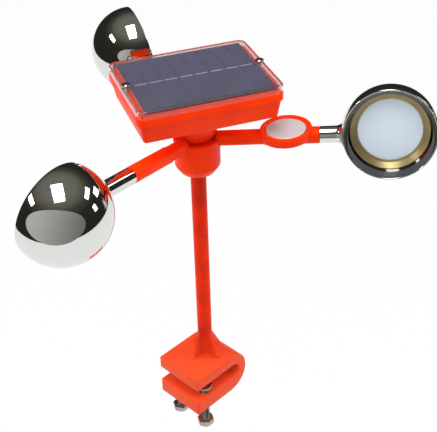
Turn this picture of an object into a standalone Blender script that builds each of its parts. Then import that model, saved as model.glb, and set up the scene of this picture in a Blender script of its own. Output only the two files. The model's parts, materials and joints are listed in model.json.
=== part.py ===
"""Solar bird repeller: a clamp and post, a turning hub with three mirrored cups, and a fixed solar box.

Metres, +Z up. The origin is on the post's axis, on the clamp's upper jaw face. X runs along the clamp's
width and +Y towards its bend. The hub, the arms and the cups turn about the post's axis. Each cup can be
turned about its arm, and each clamp bolt moves along its own axis.
"""

import math

import bmesh
import bpy
from mathutils import Matrix, Vector

# Clearances, overrun and fineness
GAP = 0.0003
RUNNING_GAP = 0.0008
OVERRUN = 0.002
ROUND_STEPS = 24
FINE_ROUND_STEPS = 32
SMALL_ROUND_STEPS = 12
CORNER_STEPS = 4
CUP_ARC_STEPS = 8
BEND_STEPS = 12
WELD = 0.000002
SMOOTH_ANGLE = math.radians(35)

# Clamp and post
CLAMP_WIDTH = 0.061
UPPER_JAW = 0.016
JAW_GAP = 0.018
LOWER_JAW = 0.019
OPEN_REACH = 0.044
SLOT_REACH = 0.023
BEND_WALL = 0.012
CLAMP_EDGE = 0.0018
POST_RADIUS = 0.008
RIB_REACH = 0.0215
RIB_HEIGHT = 0.027
RIB_THICKNESS = 0.0036
RIB_ROOT = 0.003

# Clamp bolts
BOLT_SPACING = 0.041
BOLT_INSET = 0.020
BOLT_RADIUS = 0.005
BOLT_LENGTH = 0.049
BOLT_HEAD_FLATS = 0.017
BOLT_HEAD_HEIGHT = 0.007
BOLT_HEAD_EDGE = 0.0006
BOLT_TIP_RADIUS = 0.003
BOLT_TIP_LENGTH = 0.003
BOLT_SHOWS_RIGHT = 0.0245
BOLT_SHOWS_LEFT = 0.0285
NUT_FLATS = 0.017
NUT_HEIGHT = 0.008
PAD_RADIUS = 0.009
PAD_THICKNESS = 0.0045
PAD_EDGE = 0.0008

# Rotor: height of the arms' axis over the jaw face, and the hub about it
ARM_HEIGHT = 0.296
ARM_RISE = math.radians(5)
ARM_TURNS = {
    "right": math.radians(37),
    "back": math.radians(157),
    "left": math.radians(277),
}
HUB_RADIUS = 0.023
HUB_FOOT_RADIUS = 0.0177
HUB_TOP = 0.003
HUB_BOTTOM = -0.035
HUB_CHAMFER = 0.008
HUB_BAND_HEIGHT = 0.0035
HUB_BAND_PROUD = 0.0005
HUB_WALL = 0.0025
HUB_ROOF = 0.0035
POST_INTO_HUB = 0.009
POST_MOUTH_RADIUS = 0.009
POST_MOUTH_DEPTH = 0.013

# Spindle, bearings and rings
SPINDLE_RADIUS = 0.0025
SPINDLE_IN_POST = 0.028
SPINDLE_TOP = 0.014
SPINDLE_FLAT = 0.0006
BEARING_RADIUS = 0.007
BEARING_WIDTH = 0.005
BEARING_STAND = 0.005
SPACER_RADIUS = 0.0045
WEB_BORE = 0.005
UPPER_BEARING_TOP = 0.0
CLIP_RADIUS = 0.0034
CLIP_THICKNESS = 0.0008
COLLAR_RADIUS = 0.0042
COLLAR_HEIGHT = 0.0015

# Gears
GEAR_MODULE = 0.0005
GEAR_TEETH = 25
PINION_TEETH = 10
GEAR_BORE = 0.0039
GEAR_FACE = 0.0041
TOOTH_ADDENDUM = 0.0004
TOOTH_DEDENDUM = 0.00065
TOOTH_ROOT_HALF = 0.00032
TOOTH_TIP_HALF = 0.00014
PINION_SHAFT_RADIUS = 0.0015
PINION_SHAFT_IN_GEARBOX = 0.003

# Arms
STUB_START = 0.0205
STUB_SIZE = 0.0134
STUB_CORNER = 0.0042
SPIGOT_SIZE = 0.0100
SPIGOT_CORNER = 0.002
SPIGOT_LENGTH = 0.024
SLEEVE_SIZE = 0.0148
SLEEVE_CORNER = 0.0050
SLEEVE_LENGTH = 0.0544
SOCKET_EXTRA = 0.001
NECK_SPIGOT_RADIUS = 0.0058
NECK_SPIGOT_LENGTH = 0.0182

# Round mirror on the right sleeve
HOLDER_INSET = 0.0321
HOLDER_RADIUS = 0.0255
HOLDER_TOP = 0.0095
HOLDER_HEIGHT = 0.0095
HOLDER_EDGE = 0.0016
HOLDER_LIP = 0.0055
HOLDER_DEPTH = 0.0032
ROUND_MIRROR_THICKNESS = 0.0018

# Cups
CUP_REACH = 0.188
CUP_RADIUS = 0.0465
CUP_WALL = 0.0016
CUP_RIM_RAISE = 0.0095
CUP_ROLL = math.radians(10)
NECK_RADIUS = 0.0083
NECK_LENGTH = 0.0206
PLAIN_NECK_LENGTH = 0.0425
NECK_FILLET = 0.0075
NECK_FILLET_STEPS = 4
NECK_BORE = 0.0061
NECK_FLOOR = 0.002
NECK_STEP = 0.0002
LINER_WALL = 0.0013
LINER_RECESS = 0.0008
LINER_DEPTH = 0.0100
LINER_FOOT_RADIUS = 0.0385
BEZEL_WALL = 0.0015
BEZEL_DEPTH = 0.0165
BEZEL_FOOT_RADIUS = 0.0312
CUP_MIRROR_RADIUS = 0.0325
CUP_MIRROR_THICKNESS = 0.002

# Solar box, heights over the arms' axis
BOX_TURN = math.radians(64)
BOX_FLOOR = 0.036
BOX_HALF_LENGTH = 0.0715
BOX_HALF_WIDTH = 0.055
BOX_CORNER = 0.009
BAND_PROUD = 0.002
BAND_HEIGHT = 0.0085
BAND_STEP = 0.0008
BOX_DRAFT = 0.0035
BOX_FOOT_EDGE = 0.0015
TRAY_HEIGHT = 0.027
TRAY_WALL = 0.0025
LIP_INSET = 0.0045
LIP_HEIGHT = 0.0025
LIP_WIDTH = 0.0067
LEDGE_DEPTH = 0.0055
NECK_FOOT_RADIUS = 0.0165
NECK_HEAD_RADIUS = 0.0315
BOX_NECK_WALL = 0.0022
BOX_NECK_BORE = 0.0125
PLATE_LEDGE = 0.0095
COVER_HEIGHT = 0.0081
COVER_WALL = 0.0022
COVER_INSET = 0.0003
COVER_ROUND = 0.0024
COVER_SCREW_INSET = 0.0047
COVER_BOSS_RADIUS = 0.0029
TRAY_BOSS_RADIUS = 0.0032
TRAY_BOSS_HEIGHT = 0.010
BOSS_FLOOR = 0.002
COVER_SCREW_RADIUS = 0.0017
COVER_SCREW_LENGTH = 0.014
COVER_SCREW_HEAD = 0.0042
COVER_SCREW_CROWN = 0.0026
RECESS_WIDTH = 0.0009
RECESS_LENGTH = 0.0046
RECESS_DEPTH = 0.0014
PANEL_END_INSET = 0.008
PANEL_SIDE_INSET = 0.006
PANEL_THICKNESS = 0.002
PANEL_CORNER = 0.001
TAPE_THICKNESS = 0.0008
TAPE_WIDTH = 0.0026
TAPE_INSET = 0.0004

# Motor and its plate
PLATE_THICKNESS = 0.0015
PLATE_RADIUS = 0.0166
PLATE_SCREW_PLACE = 0.0146
PLATE_SCREW_RADIUS = 0.001
PLATE_SCREW_LENGTH = 0.0045
PLATE_SCREW_HEAD = 0.0019
PLATE_SCREW_CROWN = 0.0012
MOTOR_WIDTH = 0.012
MOTOR_DEPTH = 0.010
MOTOR_EDGE = 0.001
GEARBOX_HEIGHT = 0.009
MOTOR_HEIGHT = 0.0147

# Battery, board and wires
BATTERY_RADIUS = 0.009
BATTERY_LENGTH = 0.065
BATTERY_INSET = 0.019
HOLDER_WALL = 0.0012
HOLDER_FLOOR = 0.0015
HOLDER_SIDE = 0.014
CONTACT_THICKNESS = 0.0005
CONTACT_SIZE = 0.009
BOARD_HALF_LENGTH = 0.030
BOARD_HALF_WIDTH = 0.014
BOARD_INSET = 0.025
BOARD_THICKNESS = 0.0016
STANDOFF_HEIGHT = 0.0042
STANDOFF_RADIUS = 0.0024
STANDOFF_INSET = 0.003
CHIP_SIZE = 0.009
CHIP_HEIGHT = 0.0022
WIRE_RADIUS = 0.0009
WIRE_RISE = 0.008
WIRE_POINTS = 14

# Worked-out levels
LOWER_JAW_TOP = -JAW_GAP
LOWER_JAW_BOTTOM = -JAW_GAP - LOWER_JAW
POST_TOP = ARM_HEIGHT + HUB_BOTTOM + POST_INTO_HUB
LOWER_BEARING_BOTTOM = HUB_BOTTOM + POST_INTO_HUB + BEARING_STAND
UPPER_BEARING_BOTTOM = UPPER_BEARING_TOP - BEARING_WIDTH
WEB_BOTTOM = LOWER_BEARING_BOTTOM + BEARING_WIDTH + GAP
WEB_TOP = UPPER_BEARING_BOTTOM - GAP
BEARING_SEAT = BEARING_RADIUS + GAP
GEAR_FOOT = UPPER_BEARING_TOP + GAP
GEAR_TOOTH_FOOT = HUB_TOP + GAP
GEAR_TOP = GEAR_TOOTH_FOOT + GEAR_FACE
GEAR_PITCH = GEAR_MODULE * GEAR_TEETH / 2
PINION_PITCH = GEAR_MODULE * PINION_TEETH / 2
GEAR_DISTANCE = GEAR_PITCH + PINION_PITCH
PLATE_BOTTOM = PLATE_LEDGE + GAP
PLATE_TOP = PLATE_BOTTOM + PLATE_THICKNESS
GEARBOX_FOOT = PLATE_TOP + GAP
GEARBOX_TOP = GEARBOX_FOOT + GEARBOX_HEIGHT
NECK_FOOT = HUB_TOP + RUNNING_GAP
TRAY_TOP = BOX_FLOOR + TRAY_HEIGHT
TRAY_INSIDE = BOX_FLOOR + TRAY_WALL
LIP_TOP = TRAY_TOP + LIP_HEIGHT
TAPE_BOTTOM = LIP_TOP + GAP
PANEL_BOTTOM = TAPE_BOTTOM + TAPE_THICKNESS + GAP
COVER_BOTTOM = TRAY_TOP + GAP
COVER_TOP = COVER_BOTTOM + COVER_HEIGHT
NECK_START = CUP_REACH - CUP_RADIUS - NECK_LENGTH
PLAIN_NECK_START = CUP_REACH - CUP_RADIUS - PLAIN_NECK_LENGTH
HOLDER_PLACE = NECK_START - GAP - HOLDER_INSET
PANEL_HALF_LENGTH = BOX_HALF_LENGTH - PANEL_END_INSET
PANEL_HALF_WIDTH = BOX_HALF_WIDTH - PANEL_SIDE_INSET
COVER_SCREW_PLACE = BOX_HALF_LENGTH - COVER_SCREW_INSET
BATTERY_PLACE = BATTERY_INSET - BOX_HALF_WIDTH
BOARD_PLACE = BOX_HALF_WIDTH - BOARD_INSET

# Colours, roughness and metallic value of each finish
FINISHES = {
    "orange_plastic": ((0.90, 0.075, 0.010, 1), 0.30, 0.0),
    "chrome": ((0.80, 0.80, 0.80, 1), 0.06, 1.0),
    "dark_chrome": ((0.30, 0.29, 0.28, 1), 0.10, 1.0),
    "gold": ((0.45, 0.34, 0.12, 1), 0.25, 1.0),
    "blue_mirror": ((0.62, 0.76, 0.92, 1), 0.05, 0.6),
    "grey_mirror": ((0.50, 0.50, 0.56, 1), 0.10, 0.8),
    "zinc": ((0.52, 0.53, 0.50, 1), 0.35, 1.0),
    "steel": ((0.60, 0.60, 0.60, 1), 0.25, 1.0),
    "white_plastic": ((0.80, 0.80, 0.76, 1), 0.45, 0.0),
    "clear_plastic": ((0.95, 0.90, 0.90, 1), 0.08, 0.0),
    "solar_cells": ((0.075, 0.100, 0.160, 1), 0.30, 0.0),
    "foam_tape": ((0.05, 0.05, 0.05, 1), 0.80, 0.0),
    "black_plastic": ((0.03, 0.03, 0.03, 1), 0.45, 0.0),
    "battery_wrap": ((0.05, 0.25, 0.45, 1), 0.40, 0.0),
    "circuit_board": ((0.02, 0.18, 0.06, 1), 0.45, 0.0),
    "wire_jacket": ((0.55, 0.03, 0.03, 1), 0.50, 0.0),
}


def clear_scene():
    """Remove whatever the file holds."""
    for item in list(bpy.data.objects):
        bpy.data.objects.remove(item, do_unlink=True)


def finish(name):
    """Return the named material, made on first use."""
    material = bpy.data.materials.get(name)
    if material is None:
        colour, roughness, metallic = FINISHES[name]
        material = bpy.data.materials.new(name)
        material.use_nodes = True
        shader = material.node_tree.nodes["Principled BSDF"]
        shader.inputs["Base Color"].default_value = colour
        shader.inputs["Roughness"].default_value = roughness
        shader.inputs["Metallic"].default_value = metallic
    return material


def piece_from(name, bm, finish_name):
    """Turn a closed bmesh into a named object with outward faces."""
    bmesh.ops.recalc_face_normals(bm, faces=bm.faces)
    mesh = bpy.data.meshes.new(name)
    bm.to_mesh(mesh)
    bm.free()
    mesh.materials.append(finish(finish_name))
    mesh.shade_smooth()
    mesh.set_sharp_from_angle(angle=SMOOTH_ANGLE)
    item = bpy.data.objects.new(name, mesh)
    bpy.context.scene.collection.objects.link(item)
    return item


def empty_at(name, matrix, parent=None):
    """Add an empty that carries the pieces on one axis."""
    item = bpy.data.objects.new(name, None)
    bpy.context.scene.collection.objects.link(item)
    item.parent = parent
    item.matrix_local = matrix
    return item


def settle(item):
    """Replace an object's mesh by what its modifiers make of it, with doubled points merged."""
    graph = bpy.context.evaluated_depsgraph_get()
    mesh = bpy.data.meshes.new_from_object(item.evaluated_get(graph))
    item.modifiers.clear()
    bm = bmesh.new()
    bm.from_mesh(mesh)
    bmesh.ops.remove_doubles(bm, verts=bm.verts, dist=WELD)
    bmesh.ops.dissolve_degenerate(bm, edges=bm.edges, dist=WELD)
    bm.to_mesh(mesh)
    bm.free()
    item.data = mesh
    mesh.shade_smooth()
    mesh.set_sharp_from_angle(angle=SMOOTH_ANGLE)


def combine(item, other, operation):
    """Join or cut one object with another, which is used up."""
    modifier = item.modifiers.new(operation.title(), "BOOLEAN")
    modifier.operation = operation
    modifier.solver = "EXACT"
    modifier.object = other
    settle(item)
    bpy.data.objects.remove(other, do_unlink=True)


def join(item, other):
    """Make the other shape part of this object."""
    combine(item, other, "UNION")


def cut(item, other):
    """Cut the other shape out of this object."""
    combine(item, other, "DIFFERENCE")


def soften(item, width, segments=2, angle=SMOOTH_ANGLE * 1.5):
    """Round an object's sharp edges."""
    modifier = item.modifiers.new("Edges", "BEVEL")
    modifier.width = width
    modifier.segments = segments
    modifier.limit_method = "ANGLE"
    modifier.angle_limit = angle
    settle(item)


def lofted(name, loops, finish_name):
    """Skin closed loops of equally many points, with a face over each end."""
    bm = bmesh.new()
    rings = [[bm.verts.new(point) for point in loop] for loop in loops]
    for lower, upper in zip(rings, rings[1:]):
        for here in range(len(lower)):
            after = (here + 1) % len(lower)
            bm.faces.new((lower[here], lower[after], upper[after], upper[here]))
    bm.faces.new(reversed(rings[0]))
    bm.faces.new(rings[-1])
    return piece_from(name, bm, finish_name)


def turned(name, outline, finish_name, steps=ROUND_STEPS):
    """Turn a closed outline of (radius, height) points about Z. Points on the axis become poles."""
    bm = bmesh.new()
    columns = []
    poles = {}
    for step in range(steps):
        angle = 2 * math.pi * step / steps
        column = []
        for place, (radius, height) in enumerate(outline):
            if radius == 0:
                if place not in poles:
                    poles[place] = bm.verts.new((0, 0, height))
                column.append(poles[place])
            else:
                column.append(bm.verts.new((radius * math.cos(angle), radius * math.sin(angle), height)))
        columns.append(column)
    for step in range(steps):
        here = columns[step]
        after = columns[(step + 1) % steps]
        for low in range(len(outline)):
            high = (low + 1) % len(outline)
            corners = []
            for vert in (here[low], after[low], after[high], here[high]):
                if vert not in corners:
                    corners.append(vert)
            if len(corners) > 2:
                bm.faces.new(corners)
    return piece_from(name, bm, finish_name)


def drum(name, radius, bottom, top, finish_name, bore=0.0, steps=ROUND_STEPS):
    """A round disc or tube between two heights."""
    if bore:
        outline = [(bore, bottom), (radius, bottom), (radius, top), (bore, top)]
    else:
        outline = [(0, bottom), (radius, bottom), (radius, top), (0, top)]
    return turned(name, outline, finish_name, steps)


def small_drum(name, radius, bottom, top, finish_name):
    """A small round pin or cutter."""
    return drum(name, radius, bottom, top, finish_name, 0, SMALL_ROUND_STEPS)


def block(name, low, high, finish_name):
    """A box between two corners."""
    bm = bmesh.new()
    size = Vector(high) - Vector(low)
    centre = (Vector(high) + Vector(low)) / 2
    place = Matrix.Translation(centre) @ Matrix.Diagonal((*size, 1))
    bmesh.ops.create_cube(bm, size=1, matrix=place)
    return piece_from(name, bm, finish_name)


def prism(name, outline, bottom, top, finish_name):
    """Raise a flat outline of (x, y) points between two heights."""
    loops = [[(x, y, height) for x, y in outline] for height in (bottom, top)]
    return lofted(name, loops, finish_name)


def along_x(item):
    """Lay a shape made along Z along X instead."""
    item.data.transform(Matrix.Rotation(math.radians(90), 4, "Y"))
    return item


def moved(item, x=0.0, y=0.0, z=0.0):
    """Shift a shape's mesh and keep its origin."""
    item.data.transform(Matrix.Translation((x, y, z)))
    return item


def rounded_loop(half_length, half_width, corner, height, steps=CORNER_STEPS):
    """A rounded rectangle as a loop of points at one height."""
    points = []
    for quarter in range(4):
        along = half_length - corner
        across = half_width - corner
        centre_x = along if quarter in (0, 3) else -along
        centre_y = across if quarter in (0, 1) else -across
        for step in range(steps + 1):
            angle = math.radians(90) * (quarter + step / steps)
            points.append((centre_x + corner * math.cos(angle), centre_y + corner * math.sin(angle), height))
    return points


def square_bar(name, size, corner, start, end, finish_name):
    """A bar of rounded square section along X."""
    loops = []
    for place in (start, end):
        loop = rounded_loop(size / 2, size / 2, corner, 0)
        loops.append([(place, x, y) for x, y, _ in loop])
    return lofted(name, loops, finish_name)


def hexagon(flats):
    """A hexagon's corners, with two of its flats facing along X."""
    radius = flats / math.sqrt(3)
    turns = [math.radians(30 + 60 * number) for number in range(6)]
    return [(radius * math.cos(turn), radius * math.sin(turn)) for turn in turns]


def gear_outline(teeth, pitch_radius, phase):
    """A spur gear's outline, one tooth at the phase angle."""
    root = pitch_radius - TOOTH_DEDENDUM
    tip = pitch_radius + TOOTH_ADDENDUM
    root_half = math.asin(TOOTH_ROOT_HALF / root)
    tip_half = math.asin(TOOTH_TIP_HALF / tip)
    points = []
    for tooth in range(teeth):
        middle = phase + 2 * math.pi * tooth / teeth
        for radius, offset in ((root, -root_half), (tip, -tip_half), (tip, tip_half), (root, root_half)):
            points.append((radius * math.cos(middle + offset), radius * math.sin(middle + offset)))
    return points


def bolt_places():
    """The two clamp bolts' names, places and exposed lengths."""
    half = BOLT_SPACING / 2
    depth = BOLT_INSET - OPEN_REACH
    return (("right", half, depth, BOLT_SHOWS_RIGHT), ("left", -half, depth, BOLT_SHOWS_LEFT))


def clamp_outline():
    """The clamp's side view as (y, z) points: a U lying on its side."""
    outer = (UPPER_JAW + JAW_GAP + LOWER_JAW) / 2
    inner = JAW_GAP / 2
    outer_y = SLOT_REACH + BEND_WALL - outer
    outer_z = UPPER_JAW - outer
    inner_y = SLOT_REACH - inner
    points = [(-OPEN_REACH, LOWER_JAW_BOTTOM)]
    for step in range(BEND_STEPS + 1):
        angle = math.pi * (step / BEND_STEPS - 1 / 2)
        points.append((outer_y + outer * math.cos(angle), outer_z + outer * math.sin(angle)))
    points.append((-OPEN_REACH, UPPER_JAW))
    points.append((-OPEN_REACH, 0))
    for step in range(BEND_STEPS + 1):
        angle = math.pi * (1 / 2 - step / BEND_STEPS)
        points.append((inner_y + inner * math.cos(angle), -inner + inner * math.sin(angle)))
    points.append((-OPEN_REACH, LOWER_JAW_TOP))
    return points


def make_rib(turn):
    """One triangular rib between the post and the clamp's top plate."""
    foot = UPPER_JAW - RIB_ROOT
    peak = UPPER_JAW + RIB_HEIGHT * RIB_REACH / (RIB_REACH - POST_RADIUS)
    corners = ((0, foot), (RIB_REACH, foot), (RIB_REACH, UPPER_JAW), (0, peak))
    loops = [[(x, y, z) for x, z in corners] for y in (-RIB_THICKNESS / 2, RIB_THICKNESS / 2)]
    rib = lofted("rib", loops, "orange_plastic")
    rib.data.transform(Matrix.Rotation(turn, 4, "Z"))
    return rib


def make_clamp():
    """The clamp, its ribs and the post, one moulding, with the nuts' pockets inside its lower jaw."""
    half = CLAMP_WIDTH / 2
    loops = [[(x, y, z) for y, z in clamp_outline()] for x in (-half, half)]
    clamp = lofted("clamp_post", loops, "orange_plastic")
    soften(clamp, CLAMP_EDGE)
    join(clamp, drum("post", POST_RADIUS, UPPER_JAW / 2, POST_TOP, "orange_plastic"))
    for quarter in range(4):
        join(clamp, make_rib(math.radians(90) * quarter))
    hole_foot = POST_TOP - SPINDLE_IN_POST - GAP
    hole_top = POST_TOP + OVERRUN
    cut(clamp, small_drum("spindle_hole", SPINDLE_RADIUS + GAP, hole_foot, hole_top, "steel"))
    middle = LOWER_JAW_TOP - LOWER_JAW / 2
    pocket_half = NUT_HEIGHT / 2 + GAP
    for _, x, y, _ in bolt_places():
        hole = drum("hole", BOLT_RADIUS + GAP, LOWER_JAW_BOTTOM - OVERRUN, LOWER_JAW_TOP + OVERRUN, "steel")
        outline = hexagon(NUT_FLATS + 2 * GAP)
        join(hole, prism("pocket", outline, middle - pocket_half, middle + pocket_half, "steel"))
        cut(clamp, moved(hole, x, y))


def make_nut(side, x, y):
    """A nut held inside the lower jaw."""
    middle = LOWER_JAW_TOP - LOWER_JAW / 2
    nut = prism(f"clamp_nut_{side}", hexagon(NUT_FLATS), -NUT_HEIGHT / 2, NUT_HEIGHT / 2, "zinc")
    cut(nut, drum("bore", BOLT_RADIUS + GAP, -NUT_HEIGHT, NUT_HEIGHT, "zinc"))
    nut.location = (x, y, middle)


def make_bolt(side, x, y, shows):
    """A hex-head bolt that comes up through the lower jaw, with the round pad on its tip."""
    head_top = LOWER_JAW_BOTTOM - shows
    bolt = prism(f"clamp_bolt_{side}", hexagon(BOLT_HEAD_FLATS), -BOLT_HEAD_HEIGHT, 0, "zinc")
    soften(bolt, BOLT_HEAD_EDGE, 1)
    join(bolt, drum("shank", BOLT_RADIUS, -BOLT_HEAD_HEIGHT / 2, BOLT_LENGTH, "zinc"))
    tip_top = BOLT_LENGTH + BOLT_TIP_LENGTH
    join(bolt, small_drum("tip", BOLT_TIP_RADIUS, BOLT_LENGTH / 2, tip_top, "zinc"))
    bolt.location = (x, y, head_top)
    seat = BOLT_LENGTH + GAP
    outline = [
        (0, tip_top + GAP),
        (BOLT_TIP_RADIUS + GAP, tip_top + GAP),
        (BOLT_TIP_RADIUS + GAP, seat),
        (PAD_RADIUS - PAD_EDGE, seat),
        (PAD_RADIUS, seat + PAD_EDGE),
        (PAD_RADIUS, seat + PAD_THICKNESS - PAD_EDGE),
        (PAD_RADIUS - PAD_EDGE, seat + PAD_THICKNESS),
        (0, seat + PAD_THICKNESS),
    ]
    pad = turned(f"bolt_pad_{side}", outline, "zinc")
    pad.location = (x, y, head_top)


def make_spindle(axis, box_axis):
    """The fixed rod, and the rings and bearings on it."""
    bottom = POST_TOP - ARM_HEIGHT - SPINDLE_IN_POST
    spindle = small_drum("spindle", SPINDLE_RADIUS, bottom, SPINDLE_TOP, "steel")
    flat_low = (-2 * SPINDLE_RADIUS, -2 * SPINDLE_RADIUS, PLATE_LEDGE)
    flat_high = (SPINDLE_FLAT - SPINDLE_RADIUS, 2 * SPINDLE_RADIUS, SPINDLE_TOP + OVERRUN)
    cut(spindle, block("flat", flat_low, flat_high, "steel"))
    spindle.parent = box_axis
    bore = SPINDLE_RADIUS + GAP
    post_top = POST_TOP - ARM_HEIGHT
    spacer = drum("spacer_ring", SPACER_RADIUS, post_top + GAP, LOWER_BEARING_BOTTOM - GAP, "steel", bore)
    lower_top = LOWER_BEARING_BOTTOM + BEARING_WIDTH
    lower = drum("bearing_lower", BEARING_RADIUS, LOWER_BEARING_BOTTOM, lower_top, "steel", bore)
    upper = drum("bearing_upper", BEARING_RADIUS, UPPER_BEARING_BOTTOM, UPPER_BEARING_TOP, "steel", bore)
    clip_foot = UPPER_BEARING_TOP + GAP
    clip_top = clip_foot + CLIP_THICKNESS
    clip = drum("rotor_clip", CLIP_RADIUS, clip_foot, clip_top, "steel", bore, SMALL_ROUND_STEPS)
    collar_foot = PLATE_LEDGE - COLLAR_HEIGHT
    collar = drum("plate_collar", COLLAR_RADIUS, collar_foot, PLATE_LEDGE, "steel", bore, SMALL_ROUND_STEPS)
    top_foot = PLATE_TOP + GAP
    top_end = top_foot + CLIP_THICKNESS
    top_clip = drum("plate_clip", CLIP_RADIUS, top_foot, top_end, "steel", bore, SMALL_ROUND_STEPS)
    for item in (spacer, lower, upper, clip, collar, top_clip):
        item.parent = axis


def neck_start(side):
    """Where a cup's neck starts along its arm. The arm with the round mirror reaches further out."""
    return NECK_START if side == "right" else PLAIN_NECK_START


def sleeve_start(side):
    """Where the outer part of an arm starts."""
    return neck_start(side) - GAP - SLEEVE_LENGTH


def make_hub(axis):
    """The drum that turns on the bearings, with its three arm stubs."""
    side = HUB_RADIUS - HUB_WALL
    tube = BEARING_SEAT + HUB_WALL
    foot = HUB_FOOT_RADIUS - HUB_WALL
    roof = HUB_TOP - HUB_ROOF
    chamfer_top = HUB_BOTTOM + HUB_CHAMFER
    outline = [
        (POST_MOUTH_RADIUS, HUB_BOTTOM),
        (tube, HUB_BOTTOM),
        (tube, roof),
        (side, roof),
        (side, chamfer_top),
        (foot, HUB_BOTTOM),
        (HUB_FOOT_RADIUS, HUB_BOTTOM),
        (HUB_RADIUS, chamfer_top),
        (HUB_RADIUS, HUB_TOP - HUB_BAND_HEIGHT),
        (HUB_RADIUS + HUB_BAND_PROUD, HUB_TOP - HUB_BAND_HEIGHT + HUB_BAND_PROUD),
        (HUB_RADIUS + HUB_BAND_PROUD, HUB_TOP - HUB_BAND_PROUD),
        (HUB_RADIUS, HUB_TOP),
        (BEARING_SEAT, HUB_TOP),
        (BEARING_SEAT, WEB_TOP),
        (WEB_BORE, WEB_TOP),
        (WEB_BORE, WEB_BOTTOM),
        (BEARING_SEAT, WEB_BOTTOM),
        (BEARING_SEAT, HUB_BOTTOM + POST_MOUTH_DEPTH),
        (POST_MOUTH_RADIUS, HUB_BOTTOM + POST_MOUTH_DEPTH),
    ]
    hub = turned("hub", outline, "orange_plastic")
    for arm, turn in ARM_TURNS.items():
        stub_end = sleeve_start(arm) - GAP
        stub = square_bar("stub", STUB_SIZE, STUB_CORNER, STUB_START, stub_end, "orange_plastic")
        spigot_start = stub_end - STUB_SIZE / 2
        spigot_end = stub_end + SPIGOT_LENGTH
        spigot = square_bar("spigot", SPIGOT_SIZE, SPIGOT_CORNER, spigot_start, spigot_end, "orange_plastic")
        join(stub, spigot)
        stub.data.transform(Matrix.Rotation(turn, 4, "Z") @ Matrix.Rotation(-ARM_RISE, 4, "Y"))
        join(hub, stub)
    hub.parent = axis


def make_gears(axis, box_axis):
    """The gear on the hub's top, and the pinion cut on the motor's output shaft."""
    gear = drum("drive_gear", BEARING_RADIUS, GEAR_FOOT, GEAR_TOOTH_FOOT + GAP, "white_plastic")
    teeth = gear_outline(GEAR_TEETH, GEAR_PITCH, BOX_TURN)
    join(gear, prism("teeth", teeth, GEAR_TOOTH_FOOT, GEAR_TOP, "white_plastic"))
    cut(gear, drum("bore", GEAR_BORE, GEAR_FOOT - OVERRUN, GEAR_TOP + OVERRUN, "white_plastic"))
    gear.parent = axis
    half_tooth = math.pi / PINION_TEETH
    pinion_foot = HUB_TOP + RUNNING_GAP
    outline = gear_outline(PINION_TEETH, PINION_PITCH, half_tooth)
    pinion = prism("motor_pinion", outline, pinion_foot, GEAR_TOP, "steel")
    shaft_top = GEARBOX_FOOT + PINION_SHAFT_IN_GEARBOX
    join(pinion, small_drum("shaft", PINION_SHAFT_RADIUS, pinion_foot + GAP, shaft_top, "steel"))
    pinion.parent = box_axis
    pinion.location = (GEAR_DISTANCE, 0, 0)


def make_sleeve(side, carrier):
    """One outer arm tube, pushed over its stub, with the round spigot that carries the cup."""
    start = sleeve_start(side)
    end = start + SLEEVE_LENGTH
    sleeve = square_bar(f"sleeve_{side}", SLEEVE_SIZE, SLEEVE_CORNER, start, end, "orange_plastic")
    spigot_end = end + NECK_SPIGOT_LENGTH
    spigot = drum("spigot", NECK_SPIGOT_RADIUS, end - SLEEVE_SIZE / 2, spigot_end, "orange_plastic")
    join(sleeve, along_x(spigot))
    if side == "right":
        add_mirror_holder(sleeve, carrier)
    socket_end = start - GAP + SPIGOT_LENGTH + SOCKET_EXTRA
    size = SPIGOT_SIZE + 2 * GAP
    room_size = STUB_SIZE + 2 * GAP
    room_start = start - STUB_SIZE
    cut(sleeve, square_bar("stub_room", room_size, STUB_CORNER + GAP, room_start, start, "orange_plastic"))
    socket_start = start - OVERRUN
    cut(sleeve, square_bar("socket", size, SPIGOT_CORNER + GAP, socket_start, socket_end, "orange_plastic"))
    sleeve.parent = carrier


def add_mirror_holder(sleeve, carrier):
    """The round holder on top of the right sleeve, and the mirror sunk in it."""
    bottom = HOLDER_TOP - HOLDER_HEIGHT
    seat = HOLDER_TOP - HOLDER_DEPTH
    outline = [
        (0, bottom),
        (HOLDER_RADIUS, bottom),
        (HOLDER_RADIUS, HOLDER_TOP - HOLDER_EDGE),
        (HOLDER_RADIUS - HOLDER_EDGE, HOLDER_TOP),
        (HOLDER_RADIUS - HOLDER_LIP, HOLDER_TOP),
        (HOLDER_RADIUS - HOLDER_LIP, seat),
        (0, seat),
    ]
    join(sleeve, moved(turned("holder", outline, "orange_plastic"), HOLDER_PLACE))
    radius = HOLDER_RADIUS - HOLDER_LIP
    cut(sleeve, moved(drum("recess", radius, seat, HOLDER_TOP + OVERRUN, "orange_plastic"), HOLDER_PLACE))
    glass = drum("round_mirror", radius - GAP, seat + GAP, seat + GAP + ROUND_MIRROR_THICKNESS, "grey_mirror")
    glass.parent = carrier
    glass.location = (HOLDER_PLACE, 0, 0)


def arc_outline(radius, steps):
    """Points up a sphere's side, from its bottom pole to the cup's rim height."""
    rim_angle = math.acos(-CUP_RIM_RAISE / radius)
    points = []
    for step in range(steps + 1):
        angle = rim_angle * step / steps
        reach = radius * math.sin(angle) if step else 0
        points.append((reach, -radius * math.cos(angle)))
    return points


def cone_ring(name, top_radius, top, foot_radius, foot, wall, finish_name):
    """A cone-shaped ring that narrows downwards, with its wall measured upright."""
    outline = [(foot_radius, foot), (top_radius, top), (top_radius, top - wall), (foot_radius, foot - wall)]
    return turned(name, outline, finish_name)


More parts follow.
